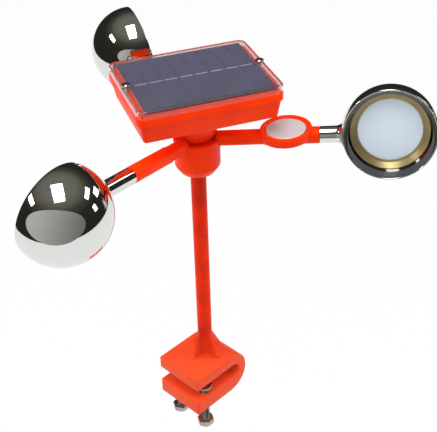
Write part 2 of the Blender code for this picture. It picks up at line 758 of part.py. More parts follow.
def neck_outline(start):
    """The neck's outline along its own axis, with the fillet by which it widens into the bowl."""
    mid_wall = CUP_RADIUS - CUP_WALL / 2
    reach = CUP_RADIUS + NECK_FILLET
    spread = math.acos((NECK_RADIUS + NECK_FILLET) / reach)
    centre = -reach * math.sin(spread)
    points = [(0, start), (NECK_RADIUS, start)]
    for step in range(NECK_FILLET_STEPS + 1):
        angle = spread * step / NECK_FILLET_STEPS
        radius = NECK_RADIUS + NECK_FILLET * (1 - math.cos(angle))
        points.append((radius, centre + NECK_FILLET * math.sin(angle)))
    edge = points[-1][0]
    points.append((edge, -math.sqrt(mid_wall**2 - edge**2)))
    points.append((0, -mid_wall))
    return points


def make_cup(side, carrier):
    """One bowl with its neck, the liner, bezel and mirror inside it, opening to one side of the arm."""
    outer = arc_outline(CUP_RADIUS, CUP_ARC_STEPS)
    inner = arc_outline(CUP_RADIUS - CUP_WALL, CUP_ARC_STEPS)
    facing = Matrix.Rotation(math.radians(90) - CUP_ROLL, 4, "X")
    cup = turned(f"cup_{side}", outer + inner[::-1], "chrome", FINE_ROUND_STEPS)
    cup.data.transform(facing)
    start = neck_start(side) - CUP_REACH
    neck = along_x(turned("neck", neck_outline(start), "chrome"))
    above = drum("above", CUP_RADIUS + 2 * NECK_FILLET, CUP_RIM_RAISE - NECK_STEP, CUP_RADIUS, "chrome")
    above.data.transform(facing)
    cut(neck, above)
    join(cup, neck)
    bore = drum("bore", NECK_BORE, start - OVERRUN, -CUP_RADIUS - NECK_FLOOR, "chrome")
    cut(cup, along_x(bore))
    rim_radius = math.sqrt((CUP_RADIUS - CUP_WALL) ** 2 - CUP_RIM_RAISE**2)
    liner_top = CUP_RIM_RAISE - LINER_RECESS
    liner_foot = CUP_RIM_RAISE - LINER_DEPTH
    name = f"cup_liner_{side}"
    top_radius = rim_radius - GAP
    liner = cone_ring(name, top_radius, liner_top, LINER_FOOT_RADIUS, liner_foot, LINER_WALL, "dark_chrome")
    bezel_foot = CUP_RIM_RAISE - BEZEL_DEPTH
    name = f"cup_bezel_{side}"
    top_radius = LINER_FOOT_RADIUS - GAP
    bezel = cone_ring(name, top_radius, liner_foot, BEZEL_FOOT_RADIUS, bezel_foot, BEZEL_WALL, "gold")
    mirror_top = bezel_foot - BEZEL_WALL - GAP
    mirror_foot = mirror_top - CUP_MIRROR_THICKNESS
    mirror = drum(f"cup_mirror_{side}", CUP_MIRROR_RADIUS, mirror_foot, mirror_top, "blue_mirror")
    for item in (liner, bezel, mirror):
        item.data.transform(facing)
    for item in (cup, liner, bezel, mirror):
        item.parent = carrier
        item.location = (CUP_REACH, 0, 0)


def tray_loops():
    """The tray's skin, up its outside, over its lip and down its inside."""
    wall_top = TRAY_TOP - BAND_HEIGHT
    side_length = BOX_HALF_LENGTH - BAND_PROUD
    side_width = BOX_HALF_WIDTH - BAND_PROUD
    foot_length = side_length - BOX_DRAFT
    foot_width = side_width - BOX_DRAFT
    lip_length = BOX_HALF_LENGTH - LIP_INSET
    lip_width = BOX_HALF_WIDTH - LIP_INSET
    ledge_foot = LIP_TOP - LEDGE_DEPTH
    sections = (
        (foot_length - BOX_FOOT_EDGE, foot_width - BOX_FOOT_EDGE, BOX_CORNER - BOX_FOOT_EDGE, BOX_FLOOR),
        (foot_length, foot_width, BOX_CORNER, BOX_FLOOR + BOX_FOOT_EDGE),
        (side_length, side_width, BOX_CORNER, wall_top),
        (BOX_HALF_LENGTH, BOX_HALF_WIDTH, BOX_CORNER, wall_top + BAND_STEP),
        (BOX_HALF_LENGTH, BOX_HALF_WIDTH, BOX_CORNER, TRAY_TOP),
        (lip_length, lip_width, BOX_CORNER - LIP_INSET, TRAY_TOP),
        (lip_length, lip_width, BOX_CORNER - LIP_INSET, LIP_TOP),
        (lip_length - LIP_WIDTH, lip_width - LIP_WIDTH, BAND_PROUD, LIP_TOP),
        (lip_length - LIP_WIDTH, lip_width - LIP_WIDTH, BAND_PROUD, ledge_foot),
        (side_length - TRAY_WALL, side_width - TRAY_WALL, BOX_CORNER - TRAY_WALL, ledge_foot),
        (side_length - TRAY_WALL, side_width - TRAY_WALL, BOX_CORNER - TRAY_WALL, wall_top),
        (foot_length - TRAY_WALL, foot_width - TRAY_WALL, BOX_CORNER - TRAY_WALL, TRAY_INSIDE),
    )
    return [rounded_loop(*section) for section in sections]


def neck_radius(height):
    """The box neck's outer radius at one height."""
    share = (height - NECK_FOOT) / (BOX_FLOOR - NECK_FOOT)
    return NECK_FOOT_RADIUS + (NECK_HEAD_RADIUS - NECK_FOOT_RADIUS) * share


def board_corners():
    """The standoffs' places under the circuit board."""
    x = BOARD_HALF_LENGTH - STANDOFF_INSET
    y = BOARD_HALF_WIDTH - STANDOFF_INSET
    return ((-x, BOARD_PLACE + y), (x, BOARD_PLACE + y), (-x, BOARD_PLACE - y), (x, BOARD_PLACE - y))


def make_tray(box_axis):
    """The orange box, with its flared neck, screw bosses and standoffs."""
    tray = lofted("box_tray", tray_loops(), "orange_plastic")
    neck_top = BOX_FLOOR + TRAY_WALL / 2
    neck = [(0, NECK_FOOT), (NECK_FOOT_RADIUS, NECK_FOOT), (neck_radius(neck_top), neck_top), (0, neck_top)]
    join(tray, turned("neck", neck, "orange_plastic", FINE_ROUND_STEPS))
    mouth = neck_radius(BOX_FLOOR) - BOX_NECK_WALL
    hollow = [
        (0, NECK_FOOT - OVERRUN),
        (BOX_NECK_BORE, NECK_FOOT - OVERRUN),
        (BOX_NECK_BORE, PLATE_LEDGE),
        (neck_radius(PLATE_LEDGE) - BOX_NECK_WALL, PLATE_LEDGE),
        (mouth, BOX_FLOOR),
        (mouth, TRAY_INSIDE + OVERRUN),
        (0, TRAY_INSIDE + OVERRUN),
    ]
    cut(tray, turned("hollow", hollow, "orange_plastic", FINE_ROUND_STEPS))
    boss_foot = TRAY_TOP - TRAY_BOSS_HEIGHT
    for x in (-COVER_SCREW_PLACE, COVER_SCREW_PLACE):
        notch_radius = COVER_BOSS_RADIUS + GAP
        cut(tray, moved(small_drum("notch", notch_radius, TRAY_TOP, LIP_TOP + OVERRUN, "steel"), x))
        boss_top = TRAY_TOP - GAP / 2
        join(tray, moved(small_drum("boss", TRAY_BOSS_RADIUS, boss_foot, boss_top, "orange_plastic"), x))
        hole_radius = COVER_SCREW_RADIUS + GAP
        hole_foot = boss_foot + BOSS_FLOOR
        cut(tray, moved(small_drum("hole", hole_radius, hole_foot, LIP_TOP, "steel"), x))
    board_foot = TRAY_INSIDE + STANDOFF_HEIGHT
    screw_hole = PLATE_SCREW_RADIUS + GAP
    for place, (x, y) in enumerate(board_corners()):
        foot = TRAY_INSIDE - TRAY_WALL / 2
        join(tray, moved(small_drum("standoff", STANDOFF_RADIUS, foot, board_foot, "orange_plastic"), x, y))
        if place < 2:
            hole = small_drum("hole", screw_hole, TRAY_INSIDE, board_foot + OVERRUN, "steel")
            cut(tray, moved(hole, x, y))
    for x, y in plate_screw_places():
        hole_foot = PLATE_LEDGE - PLATE_SCREW_LENGTH
        cut(tray, moved(small_drum("hole", screw_hole, hole_foot, PLATE_TOP, "steel"), x, y))
    tray.parent = box_axis


def make_cover(box_axis):
    """The clear cover, with the two tubes that its screws pass through."""
    half_length = BOX_HALF_LENGTH - COVER_INSET
    half_width = BOX_HALF_WIDTH - COVER_INSET
    shoulder = COVER_ROUND / 3
    inside_length = half_length - COVER_WALL
    inside_width = half_width - COVER_WALL
    ceiling = COVER_TOP - COVER_WALL
    sections = (
        (inside_length, inside_width, BOX_CORNER - COVER_WALL, ceiling),
        (inside_length, inside_width, BOX_CORNER - COVER_WALL, COVER_BOTTOM),
        (half_length, half_width, BOX_CORNER, COVER_BOTTOM),
        (half_length, half_width, BOX_CORNER, COVER_TOP - COVER_ROUND),
        (half_length - shoulder, half_width - shoulder, BOX_CORNER - shoulder, COVER_TOP - shoulder),
        (half_length - COVER_ROUND, half_width - COVER_ROUND, BOX_CORNER - COVER_ROUND, COVER_TOP),
    )
    cover = lofted("box_cover", [rounded_loop(*section) for section in sections], "clear_plastic")
    for x in (-COVER_SCREW_PLACE, COVER_SCREW_PLACE):
        boss_top = COVER_TOP - COVER_WALL / 2
        boss_foot = COVER_BOTTOM + GAP
        boss = small_drum("boss", COVER_BOSS_RADIUS, boss_foot, boss_top, "clear_plastic")
        join(cover, moved(boss, x))
        hole_radius = COVER_SCREW_RADIUS + GAP
        hole = small_drum("hole", hole_radius, COVER_BOTTOM - OVERRUN, COVER_TOP + OVERRUN, "steel")
        cut(cover, moved(hole, x))
    cover.parent = box_axis


def make_screw(name, sizes, place, parent, finish_name="steel", recess=False):
    """A pan-head screw that points down. Its origin is under its head."""
    radius, length, head, crown = sizes
    outline = [
        (0, -length),
        (radius, -length),
        (radius, 0),
        (head, 0),
        (head, crown / 2),
        (head * 3 / 4, crown * 5 / 6),
        (head / 3, crown),
        (0, crown),
    ]
    screw = turned(name, outline, finish_name, SMALL_ROUND_STEPS)
    if recess:
        half = RECESS_LENGTH / 2
        thin = RECESS_WIDTH / 2
        floor = crown - RECESS_DEPTH
        slot = block("slot", (-half, -thin, floor), (half, thin, crown + OVERRUN), finish_name)
        join(slot, block("slot", (-thin, -half, floor), (thin, half, crown + OVERRUN), finish_name))
        cut(screw, slot)
    screw.parent = parent
    screw.location = place


def make_cover_screws(box_axis):
    """The two screws at the middles of the cover's short sides."""
    sizes = (COVER_SCREW_RADIUS, COVER_SCREW_LENGTH, COVER_SCREW_HEAD, COVER_SCREW_CROWN)
    for side, x in (("left", -COVER_SCREW_PLACE), ("right", COVER_SCREW_PLACE)):
        make_screw(f"cover_screw_{side}", sizes, (x, 0, COVER_TOP + GAP), box_axis, "chrome", True)


def frame(name, outer, inner, corner, bottom, top, finish_name):
    """A flat rounded frame."""
    item = prism(name, [point[:2] for point in rounded_loop(*outer, corner, 0)], bottom, top, finish_name)
    hole = [point[:2] for point in rounded_loop(*inner, corner, 0)]
    cut(item, prism("opening", hole, bottom - OVERRUN, top + OVERRUN, finish_name))
    return item


def make_panel(box_axis):
    """The solar panel, and the foam tape that it lies on."""
    opening_length = BOX_HALF_LENGTH - LIP_INSET - LIP_WIDTH + TAPE_INSET
    opening_width = BOX_HALF_WIDTH - LIP_INSET - LIP_WIDTH + TAPE_INSET
    outer = (opening_length + TAPE_WIDTH, opening_width + TAPE_WIDTH)
    inner = (opening_length, opening_width)
    tape_top = TAPE_BOTTOM + TAPE_THICKNESS
    tape = frame("panel_tape", outer, inner, PANEL_CORNER, TAPE_BOTTOM, tape_top, "foam_tape")
    outline = [point[:2] for point in rounded_loop(PANEL_HALF_LENGTH, PANEL_HALF_WIDTH, PANEL_CORNER, 0)]
    panel = prism("solar_panel", outline, PANEL_BOTTOM, PANEL_BOTTOM + PANEL_THICKNESS, "solar_cells")
    for item in (tape, panel):
        item.parent = box_axis


def plate_screw_places():
    """Three screws round the spindle, clear of the motor, which stands on the +X side."""
    turns = [math.radians(90 * number) for number in (1, 2, 3)]
    return [(PLATE_SCREW_PLACE * math.cos(turn), PLATE_SCREW_PLACE * math.sin(turn)) for turn in turns]


def make_motor(box_axis):
    """The plate on the spindle, its screws, and the motor and gearbox that stand on it."""
    plate = drum("motor_plate", PLATE_RADIUS, PLATE_BOTTOM, PLATE_TOP, "steel")
    bore = small_drum("bore", SPINDLE_RADIUS + GAP, PLATE_BOTTOM - OVERRUN, PLATE_TOP + OVERRUN, "steel")
    flat = SPINDLE_FLAT - SPINDLE_RADIUS - GAP
    flat_low = (-2 * SPINDLE_RADIUS, -2 * SPINDLE_RADIUS, PLATE_BOTTOM - 2 * OVERRUN)
    cut(bore, block("flat", flat_low, (flat, 2 * SPINDLE_RADIUS, PLATE_TOP + 2 * OVERRUN), "steel"))
    cut(plate, bore)
    shaft_hole = PINION_SHAFT_RADIUS + GAP
    screw_hole = PLATE_SCREW_RADIUS + GAP
    holes = [(GEAR_DISTANCE, 0, shaft_hole), *((x, y, screw_hole) for x, y in plate_screw_places())]
    for x, y, radius in holes:
        hole = small_drum("hole", radius, PLATE_BOTTOM - OVERRUN, PLATE_TOP + OVERRUN, "steel")
        cut(plate, moved(hole, x, y))
    plate.parent = box_axis
    sizes = (PLATE_SCREW_RADIUS, PLATE_SCREW_LENGTH, PLATE_SCREW_HEAD, PLATE_SCREW_CROWN)
    for letter, (x, y) in zip("abc", plate_screw_places()):
        make_screw(f"plate_screw_{letter}", sizes, (x, y, PLATE_TOP + GAP), box_axis)
    low_x = GEAR_DISTANCE - MOTOR_DEPTH / 2
    high_x = GEAR_DISTANCE + MOTOR_DEPTH / 2
    half = MOTOR_WIDTH / 2
    gearbox = block("gearbox", (low_x, -half, GEARBOX_FOOT), (high_x, half, GEARBOX_TOP), "steel")
    socket_top = GEARBOX_FOOT + PINION_SHAFT_IN_GEARBOX + GAP
    socket = small_drum("socket", shaft_hole, GEARBOX_FOOT - OVERRUN, socket_top, "steel")
    cut(gearbox, moved(socket, GEAR_DISTANCE))
    motor_foot = GEARBOX_TOP + GAP
    motor = block("motor", (low_x, -half, motor_foot), (high_x, half, motor_foot + MOTOR_HEIGHT), "steel")
    soften(motor, MOTOR_EDGE)
    for item in (gearbox, motor):
        item.parent = box_axis


def make_battery(box_axis):
    """The cell in its holder, with a contact plate at each end."""
    foot = TRAY_INSIDE + GAP
    half_length = BATTERY_LENGTH / 2
    inside = half_length + 2 * GAP + CONTACT_THICKNESS
    half_width = BATTERY_RADIUS + GAP
    low = (-inside - HOLDER_WALL, -half_width - HOLDER_WALL, foot)
    high = (inside + HOLDER_WALL, half_width + HOLDER_WALL, foot + HOLDER_SIDE)
    holder = block("battery_holder", low, high, "black_plastic")
    floor = foot + HOLDER_FLOOR
    room_high = (inside, half_width, high[2] + OVERRUN)
    cut(holder, block("room", (-inside, -half_width, floor), room_high, "black_plastic"))
    middle = floor + GAP + BATTERY_RADIUS
    cell = along_x(drum("battery", BATTERY_RADIUS, -half_length, half_length, "battery_wrap"))
    moved(cell, 0, 0, middle)
    contacts = []
    half_contact = CONTACT_SIZE / 2
    for letter, start in (("a", half_length + GAP), ("b", -half_length - GAP - CONTACT_THICKNESS)):
        near = (start, -half_contact, floor + GAP)
        far = (start + CONTACT_THICKNESS, half_contact, middle + half_contact)
        contacts.append(block(f"battery_contact_{letter}", near, far, "zinc"))
    for item in (holder, cell, *contacts):
        item.parent = box_axis
        item.location = (0, BATTERY_PLACE, 0)


def make_board(box_axis):
    """The charging and drive board, on its standoffs, with two screws."""
    foot = TRAY_INSIDE + STANDOFF_HEIGHT + GAP
    top = foot + BOARD_THICKNESS
    low = (-BOARD_HALF_LENGTH, BOARD_PLACE - BOARD_HALF_WIDTH, foot)
    high = (BOARD_HALF_LENGTH, BOARD_PLACE + BOARD_HALF_WIDTH, top)
    board = block("circuit_board", low, high, "circuit_board")
    half_chip = CHIP_SIZE / 2
    for x in (-CHIP_SIZE, CHIP_SIZE):
        chip_low = (x - half_chip, BOARD_PLACE + STANDOFF_INSET, foot + GAP)
        chip_high = (x + half_chip, BOARD_PLACE + STANDOFF_INSET + CHIP_SIZE, top + CHIP_HEIGHT)
        join(board, block("chip", chip_low, chip_high, "black_plastic"))
    sizes = (PLATE_SCREW_RADIUS, PLATE_SCREW_LENGTH, PLATE_SCREW_HEAD, PLATE_SCREW_CROWN)
    for letter, (x, y) in zip("ab", board_corners()):
        hole = small_drum("hole", PLATE_SCREW_RADIUS + GAP, foot - OVERRUN, top + OVERRUN, "steel")
        cut(board, moved(hole, x, y))
        make_screw(f"board_screw_{letter}", sizes, (x, y, top + GAP), box_axis)
    board.parent = box_axis


def make_wire(name, start, start_way, end, end_way, box_axis):
    """A short twin lead inside the box that leaves both its ends upright. A way is how far, up or down."""
    curve = bpy.data.curves.new(name, "CURVE")
    curve.dimensions = "3D"
    curve.bevel_depth = WIRE_RADIUS
    curve.bevel_resolution = 2
    curve.use_fill_caps = True
    spline = curve.splines.new("POLY")
    spline.points.add(WIRE_POINTS - 1)
    first = Vector(start)
    last = Vector(end)
    handles = (first, first + Vector((0, 0, start_way)), last + Vector((0, 0, end_way)), last)
    for place, point in enumerate(spline.points):
        share = place / (WIRE_POINTS - 1)
        rest = 1 - share
        weights = (rest**3, 3 * rest**2 * share, 3 * rest * share**2, share**3)
        spot = Vector((0, 0, 0))
        for weight, handle in zip(weights, handles):
            spot += handle * weight
        point.co = (*spot, 1)
    curve.materials.append(finish("wire_jacket"))
    wire = bpy.data.objects.new(name, curve)
    bpy.context.scene.collection.objects.link(wire)
    wire.parent = box_axis


def make_wires(box_axis):
    """The three leads that end on the circuit board."""
    board_top = TRAY_INSIDE + STANDOFF_HEIGHT + GAP + BOARD_THICKNESS + GAP
    board_edge = BOARD_PLACE - BOARD_HALF_WIDTH / 2
    motor_top = GEARBOX_TOP + GAP + MOTOR_HEIGHT + GAP
    motor_end = (GEAR_DISTANCE, 0, motor_top)
    board_end = (GEAR_DISTANCE, board_edge, board_top)
    make_wire("motor_wire", motor_end, WIRE_RISE * 2, board_end, WIRE_RISE, box_axis)
    contact_x = BATTERY_LENGTH / 2 + 2 * GAP + WIRE_RADIUS
    contact_top = TRAY_INSIDE + GAP + HOLDER_FLOOR + GAP + BATTERY_RADIUS + CONTACT_SIZE / 2
    battery_end = (contact_x, BATTERY_PLACE, contact_top + GAP)
    board_side = BOARD_HALF_LENGTH * 3 / 4
    board_end = (board_side, board_edge, board_top)
    make_wire("battery_wire", battery_end, WIRE_RISE * 2, board_end, WIRE_RISE, box_axis)
    panel_end = (-BOARD_HALF_LENGTH / 2, BOARD_PLACE - BOARD_HALF_WIDTH, PANEL_BOTTOM - GAP)
    board_end = (-board_side, board_edge, board_top)
    make_wire("panel_wire", panel_end, -WIRE_RISE, board_end, WIRE_RISE, box_axis)


def main():
    """Build every piece."""
    clear_scene()
    make_clamp()
    for side, x, y, shows in bolt_places():
        make_nut(side, x, y)
        make_bolt(side, x, y, shows)
    rotor_axis = empty_at("rotor_axis", Matrix.Translation((0, 0, ARM_HEIGHT)))
    box_axis = empty_at("box_axis", Matrix.Rotation(BOX_TURN, 4, "Z"), rotor_axis)
    make_spindle(rotor_axis, box_axis)
    make_hub(rotor_axis)
    make_gears(rotor_axis, box_axis)
    for side, turn in ARM_TURNS.items():
        pointing = Matrix.Rotation(turn, 4, "Z") @ Matrix.Rotation(-ARM_RISE, 4, "Y")
        carrier = empty_at(f"arm_axis_{side}", pointing, rotor_axis)
        make_sleeve(side, carrier)
        make_cup(side, carrier)
    make_tray(box_axis)
    make_cover(box_axis)
    make_cover_screws(box_axis)
    make_panel(box_axis)
    make_motor(box_axis)
    make_battery(box_axis)
    make_board(box_axis)
    make_wires(box_axis)
    bpy.context.view_layer.update()


main()
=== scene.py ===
"""The looks of a solar bird repeller: a clamped post, chromed cups on a rotor and a solar box."""

import json
import math

import bmesh
import bpy
from mathutils import Matrix, Vector


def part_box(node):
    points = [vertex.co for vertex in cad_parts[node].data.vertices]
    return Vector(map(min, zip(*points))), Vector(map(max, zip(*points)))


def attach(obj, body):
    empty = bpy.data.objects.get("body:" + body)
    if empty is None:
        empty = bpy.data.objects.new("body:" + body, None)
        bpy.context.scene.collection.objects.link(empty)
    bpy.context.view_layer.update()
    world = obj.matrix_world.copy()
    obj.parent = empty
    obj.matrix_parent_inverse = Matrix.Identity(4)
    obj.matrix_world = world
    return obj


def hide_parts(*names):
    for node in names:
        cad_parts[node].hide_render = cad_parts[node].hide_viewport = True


bl_info = {
    "name": "Solar Bird Repeller",
    "version": (1, 0, 0),
    "blender": (4, 5, 0),
    "location": "View3D > Sidebar > Repeller",
    "description": "Builds the visible pieces of a clamp-on solar bird repeller round its solid model",
    "category": "Add Mesh",
}

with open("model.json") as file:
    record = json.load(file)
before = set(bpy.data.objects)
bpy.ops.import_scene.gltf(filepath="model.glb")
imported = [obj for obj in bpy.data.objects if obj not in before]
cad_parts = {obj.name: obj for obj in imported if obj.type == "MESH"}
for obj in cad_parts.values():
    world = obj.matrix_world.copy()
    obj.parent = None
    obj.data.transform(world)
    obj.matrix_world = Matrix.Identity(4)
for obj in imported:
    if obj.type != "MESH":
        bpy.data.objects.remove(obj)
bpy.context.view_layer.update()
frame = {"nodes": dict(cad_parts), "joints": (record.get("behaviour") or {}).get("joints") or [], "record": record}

MM = 0.001
SMOOTH_ANGLE = math.radians(32)
SOFTEN_ANGLE = math.radians(50)
WELD = 0.000002
SIDES = ("right", "back", "left")
RED = "moulded_abs_red"
ORANGE = "moulded_abs_orange"
CHROME = "plated_chrome"
CLEAR = "clear_polycarbonate"
ZINC = "zinc_plated_steel"
STAINLESS = "polished_stainless"

# The space between two pieces, and how far a cutting shape reaches past what it cuts.
GAP = 0.3 * MM
OVERRUN = 2 * MM

# The clamp and its bolts. Between two heights on the post the clamp's colour turns into the post's red, which is
# darkened as painted shade of the rotor's shadow.
POST_SHADE_HEIGHTS = (18 * MM, 45 * MM)
POST_FILLET = 2 * MM
BOLT_HOLE_RADIUS = 5.3 * MM
BOLT_TIP_RADIUS = 3 * MM
THREAD_ROWS = 8
PAD_POCKET_RADIUS = 3.3 * MM

# The hub and the arms. A stub of the hub ends in a square spigot in a sleeve's socket, and a sleeve ends in a
# round spigot in a cup's neck. The bearing seats' heights count from the arms' axis.
SKIRT_RADIUS = 9 * MM
BEARING_RADIUS = 7.3 * MM
HUB_BORE_RADIUS = 5 * MM
UPPER_SEAT = -5.3 * MM
LOWER_SEAT = -15.7 * MM
STUB_SPIGOT_SIZE = 10 * MM
STUB_SPIGOT_LENGTH = 24 * MM
SOCKET_SIZE = 10.6 * MM
SOCKET_DEPTH = 24.7 * MM
CUP_SPIGOT_RADIUS = 5.8 * MM
CUP_SPIGOT_LENGTH = 18.2 * MM
HOLDER_SEAT_DEPTH = 3.2 * MM
HOLDER_LIP = 5.5 * MM
HOLDER_SLOPE = 2.2 * MM

# The cups. Depths are below the rim.
RIM_STEPS = 8
FILLET_STEPS = 16
CUP_NECK_BORE_RADIUS = 6.1 * MM
LINER_DEPTH = 10 * MM
LINER_STEPS = 8
LINER_FOOT_RADIUS = 38.5 * MM
LINER_TOP_RADIUS = 43.6 * MM
BEZEL_DEPTH = 16.5 * MM
BEZEL_OUTER_RADIUS = 38.2 * MM
BEZEL_INNER_RADIUS = 31.2 * MM
MIRROR_DEPTH = 18.3 * MM
MIRROR_THICKNESS = 2 * MM
MIRROR_RADIUS = 32.5 * MM

# The solar box. The lip's sides are measured inwards from the box's outside.
LIP_HEIGHT = 2.5 * MM
LIP_OUTSIDE = 4.5 * MM
LIP_INSIDE = 11.2 * MM
LEDGE_DEPTH = 5.5 * MM
BOX_NECK_FOOT_RADIUS = 16.5 * MM
BOX_NECK_HEAD_RADIUS = 31.5 * MM
BOX_NECK_BORE_RADIUS = 12.5 * MM
BOX_NECK_WALL = 2.2 * MM
TRAY_BOSS_RADIUS = 3.2 * MM
COVER_WALL = 2.2 * MM
COVER_BOSS_RADIUS = 2.9 * MM
COVER_BOSS_DROP = 1.1 * MM
COVER_HOLE_RADIUS = 2 * MM
SCREW_RADIUS = 1.7 * MM
SCREW_LENGTH = 14 * MM
SCREW_HEAD_RADIUS = 4.2 * MM
RIBBON_RUN = 0.95
RIBBON_HALF_DASH = 0.40
RIBBON_HALF_WIDTH = 0.65 * MM

JOINTS = {joint["name"]: joint for joint in frame["joints"]}
ARM_HEIGHT = JOINTS["rotor_spin"]["pos_m"][2]
PINION_PLACE = JOINTS["pinion_spin"]["pos_m"]
BOX_TURN = math.atan2(PINION_PLACE[1], PINION_PLACE[0])


def linear(code):
    """Turn an sRGB hex colour into linear red, green, blue and alpha."""
    values = []
    for start in (1, 3, 5):
        value = int(code[start : start + 2], 16) / 255
        values.append(value / 12.92 if value <= 0.04045 else ((value + 0.055) / 1.055) ** 2.4)
    return (*values, 1.0)


def length(name, size, description):
    """A length property in metres, from a size in millimetres."""
    return bpy.props.FloatProperty(
        name=name, default=size * MM, min=0.0, unit="LENGTH", description=description
    )


def colour(name, code, description):
    """A colour property, from an sRGB hex value."""
    return bpy.props.FloatVectorProperty(
        name=name,
        default=linear(code)[:3],
        size=3,
        subtype="COLOR",
        min=0.0,
        max=1.0,
        description=description,
    )


class RepellerFinishes(bpy.types.PropertyGroup):
    """The colours of the finishes."""

    orange: colour("Orange", "#FF3C04", "The moulded orange plastic")
    orange_deep: colour("Deep orange", "#F63200", "Where the orange runs a little redder")
    # The post's red is darkened as painted shade, where the rotor's shadow falls on the post.
    post_red_painted_shade: colour("Post red", "#C82214", "The redder plastic of the post")
    clamp_orange: colour("Clamp orange", "#EC4E28", "The paler orange of the clamp")
    chrome: colour("Chrome", "#DEDFDC", "The bright chrome on the cups")
    dark_chrome: colour("Dark chrome", "#64615D", "The smoked chrome inside the rims")
    gold: colour("Gold", "#B8A676", "The pale gold of the rings")
    # The mirrors' near-white colours on mostly diffuse surfaces are painted reflection of the bright room, over
    # their own blue and grey tints.
    blue_mirror: colour("Blue mirror", "#E2F1FF", "The pale blue mirrors in the cups")
    grey_mirror: colour("Grey mirror", "#D2D0D2", "The satin mirror on the right arm")
    zinc: colour("Zinc", "#B4B8B4", "The plated bolts")
    cells: colour("Cells", "#455379", "The solar cells under their film")
    ribbon: colour("Ribbon", "#C4C8D2", "The tinned ribbon on the cells")
    # The cover's faint pink is painted light from the orange tray, over clear plastic.
    cover: colour("Cover", "#FBF1F0", "The clear cover")


class RepellerClamp(bpy.types.PropertyGroup):
    """Sizes of the clamp, the post and the bolts."""

    half_width: length("Half width", 30.5, "Half of the clamp's width")
    upper_jaw: length("Upper jaw", 16, "Thickness of the upper jaw")
    jaw_gap: length("Gap", 18, "Height of the clamp's gap")
    lower_jaw: length("Lower jaw", 19, "Thickness of the lower jaw")
    open_reach: length("Open reach", 44, "From the post's axis to the open end")
    slot_reach: length("Slot reach", 23, "From the post's axis to the slot's end")
    bend_wall: length("Bend wall", 12, "Thickness of the bend")
    edge: length("Edge", 2.0, "Radius of the moulding's edges")
    post_radius: length("Post radius", 8, "Radius of the post")
    rib_reach: length("Rib reach", 21.5, "How far a rib reaches from the post's axis")
    rib_height: length("Rib height", 27, "How high a rib climbs the post")
    rib_thickness: length("Rib thickness", 3.6, "Thickness of a rib")
    bolt_radius: length("Bolt radius", 5, "Outer radius of the thread")
    thread_pitch: length("Thread pitch", 1.5, "Pitch of the thread")
    thread_depth: length("Thread depth", 0.75, "Depth of the thread")
    head_height: length("Head height", 7, "Height of a bolt's head")
    head_flats: length("Head flats", 17, "Across the flats of a bolt's head")


class RepellerRotor(bpy.types.PropertyGroup):
    """Sizes of the hub and the arms."""

    hub_radius: length("Hub radius", 23, "Radius of the hub")
    hub_depth: length("Hub depth", 35, "How far the hub reaches below the arms' axis")
    stub_size: length("Stub size", 13.4, "Width of an arm's inner part")
    sleeve_size: length("Sleeve size", 14.8, "Width of an arm's outer part")
    sleeve_length: length("Sleeve length", 54.4, "Length of an arm's outer part")
    sleeve_end: length("Sleeve end", 120.6, "Where the outer part of the arm with the round mirror ends")
    plain_sleeve_end: length("Plain sleeve end", 98.7, "Where the outer part of the other two arms ends")
    holder_place: length("Mirror place", 88.5, "Where the round mirror stands on the right arm")
    holder_radius: length("Holder radius", 25.5, "Radius of the round mirror's holder")
    holder_top: length("Holder top", 9.5, "Height of the holder over the arm's axis")


class RepellerCups(bpy.types.PropertyGroup):
    """Sizes of the cups."""

    reach: length("Reach", 188, "From the post's axis to a cup's middle")
    radius: length("Radius", 46.5, "Radius of a cup")
    wall: length("Wall", 1.6, "Thickness of a cup's wall")
    rim_raise: length("Rim raise", 9.5, "How far the rim stands past the cup's middle")
    roll: bpy.props.FloatProperty(
        name="Roll",
        default=math.radians(10),
        subtype="ANGLE",
        description="How far the cups are turned up on their arms",
    )
    neck_radius: length("Neck radius", 8.3, "Radius of a cup's neck")
    neck_fillet: length("Neck fillet", 7.5, "Radius by which the neck widens into the cup")
    steps: bpy.props.IntProperty(name="Steps", default=128, min=16, max=256, description="Faces round a cup")


class RepellerBox(bpy.types.PropertyGroup):
    """Sizes of the solar box, over the arms' axis."""

    half_length: length("Half length", 71.5, "Half of the box's length")
    half_width: length("Half width", 55, "Half of the box's width")
    corner: length("Corner", 9, "Radius of the box's corners")
    floor: length("Floor", 36, "Height of the box's underside")
    tray_top: length("Tray top", 63, "Height of the tray's shoulder")
    cover_top: length("Cover top", 71.4, "Height of the cover's top")
    screw_place: length("Screw place", 66.8, "From the box's middle to a cover screw")
    panel_half_length: length("Panel half length", 63.5, "Half of the solar panel's length")
    panel_half_width: length("Panel half width", 49, "Half of the solar panel's width")
    dashes: bpy.props.IntProperty(
        name="Ribbon dashes", default=8, min=1, max=40, description="Pieces of ribbon shown"
    )


class RepellerStudio(bpy.types.PropertyGroup):
    """The floor, the lamps and the camera."""

    floor_drop: bpy.props.FloatProperty(
        name="Floor drop", default=0.6, min=0.1, unit="LENGTH", description="Floor below the clamp"
    )
    lamp_level: bpy.props.FloatProperty(
        name="Lamp level", default=1.0, min=0.0, description="Strength of all lamps together"
    )
    room_light: bpy.props.FloatProperty(
        name="Room light", default=0.35, min=0.0, description="Light from all round"
    )
    lens: bpy.props.FloatProperty(
        name="Lens", default=82.57, min=10.0, description="Focal length in millimetres"
    )


GROUPS = {
    "repeller_finishes": RepellerFinishes,
    "repeller_clamp": RepellerClamp,
    "repeller_rotor": RepellerRotor,
    "repeller_cups": RepellerCups,
    "repeller_box": RepellerBox,
    "repeller_studio": RepellerStudio,
}


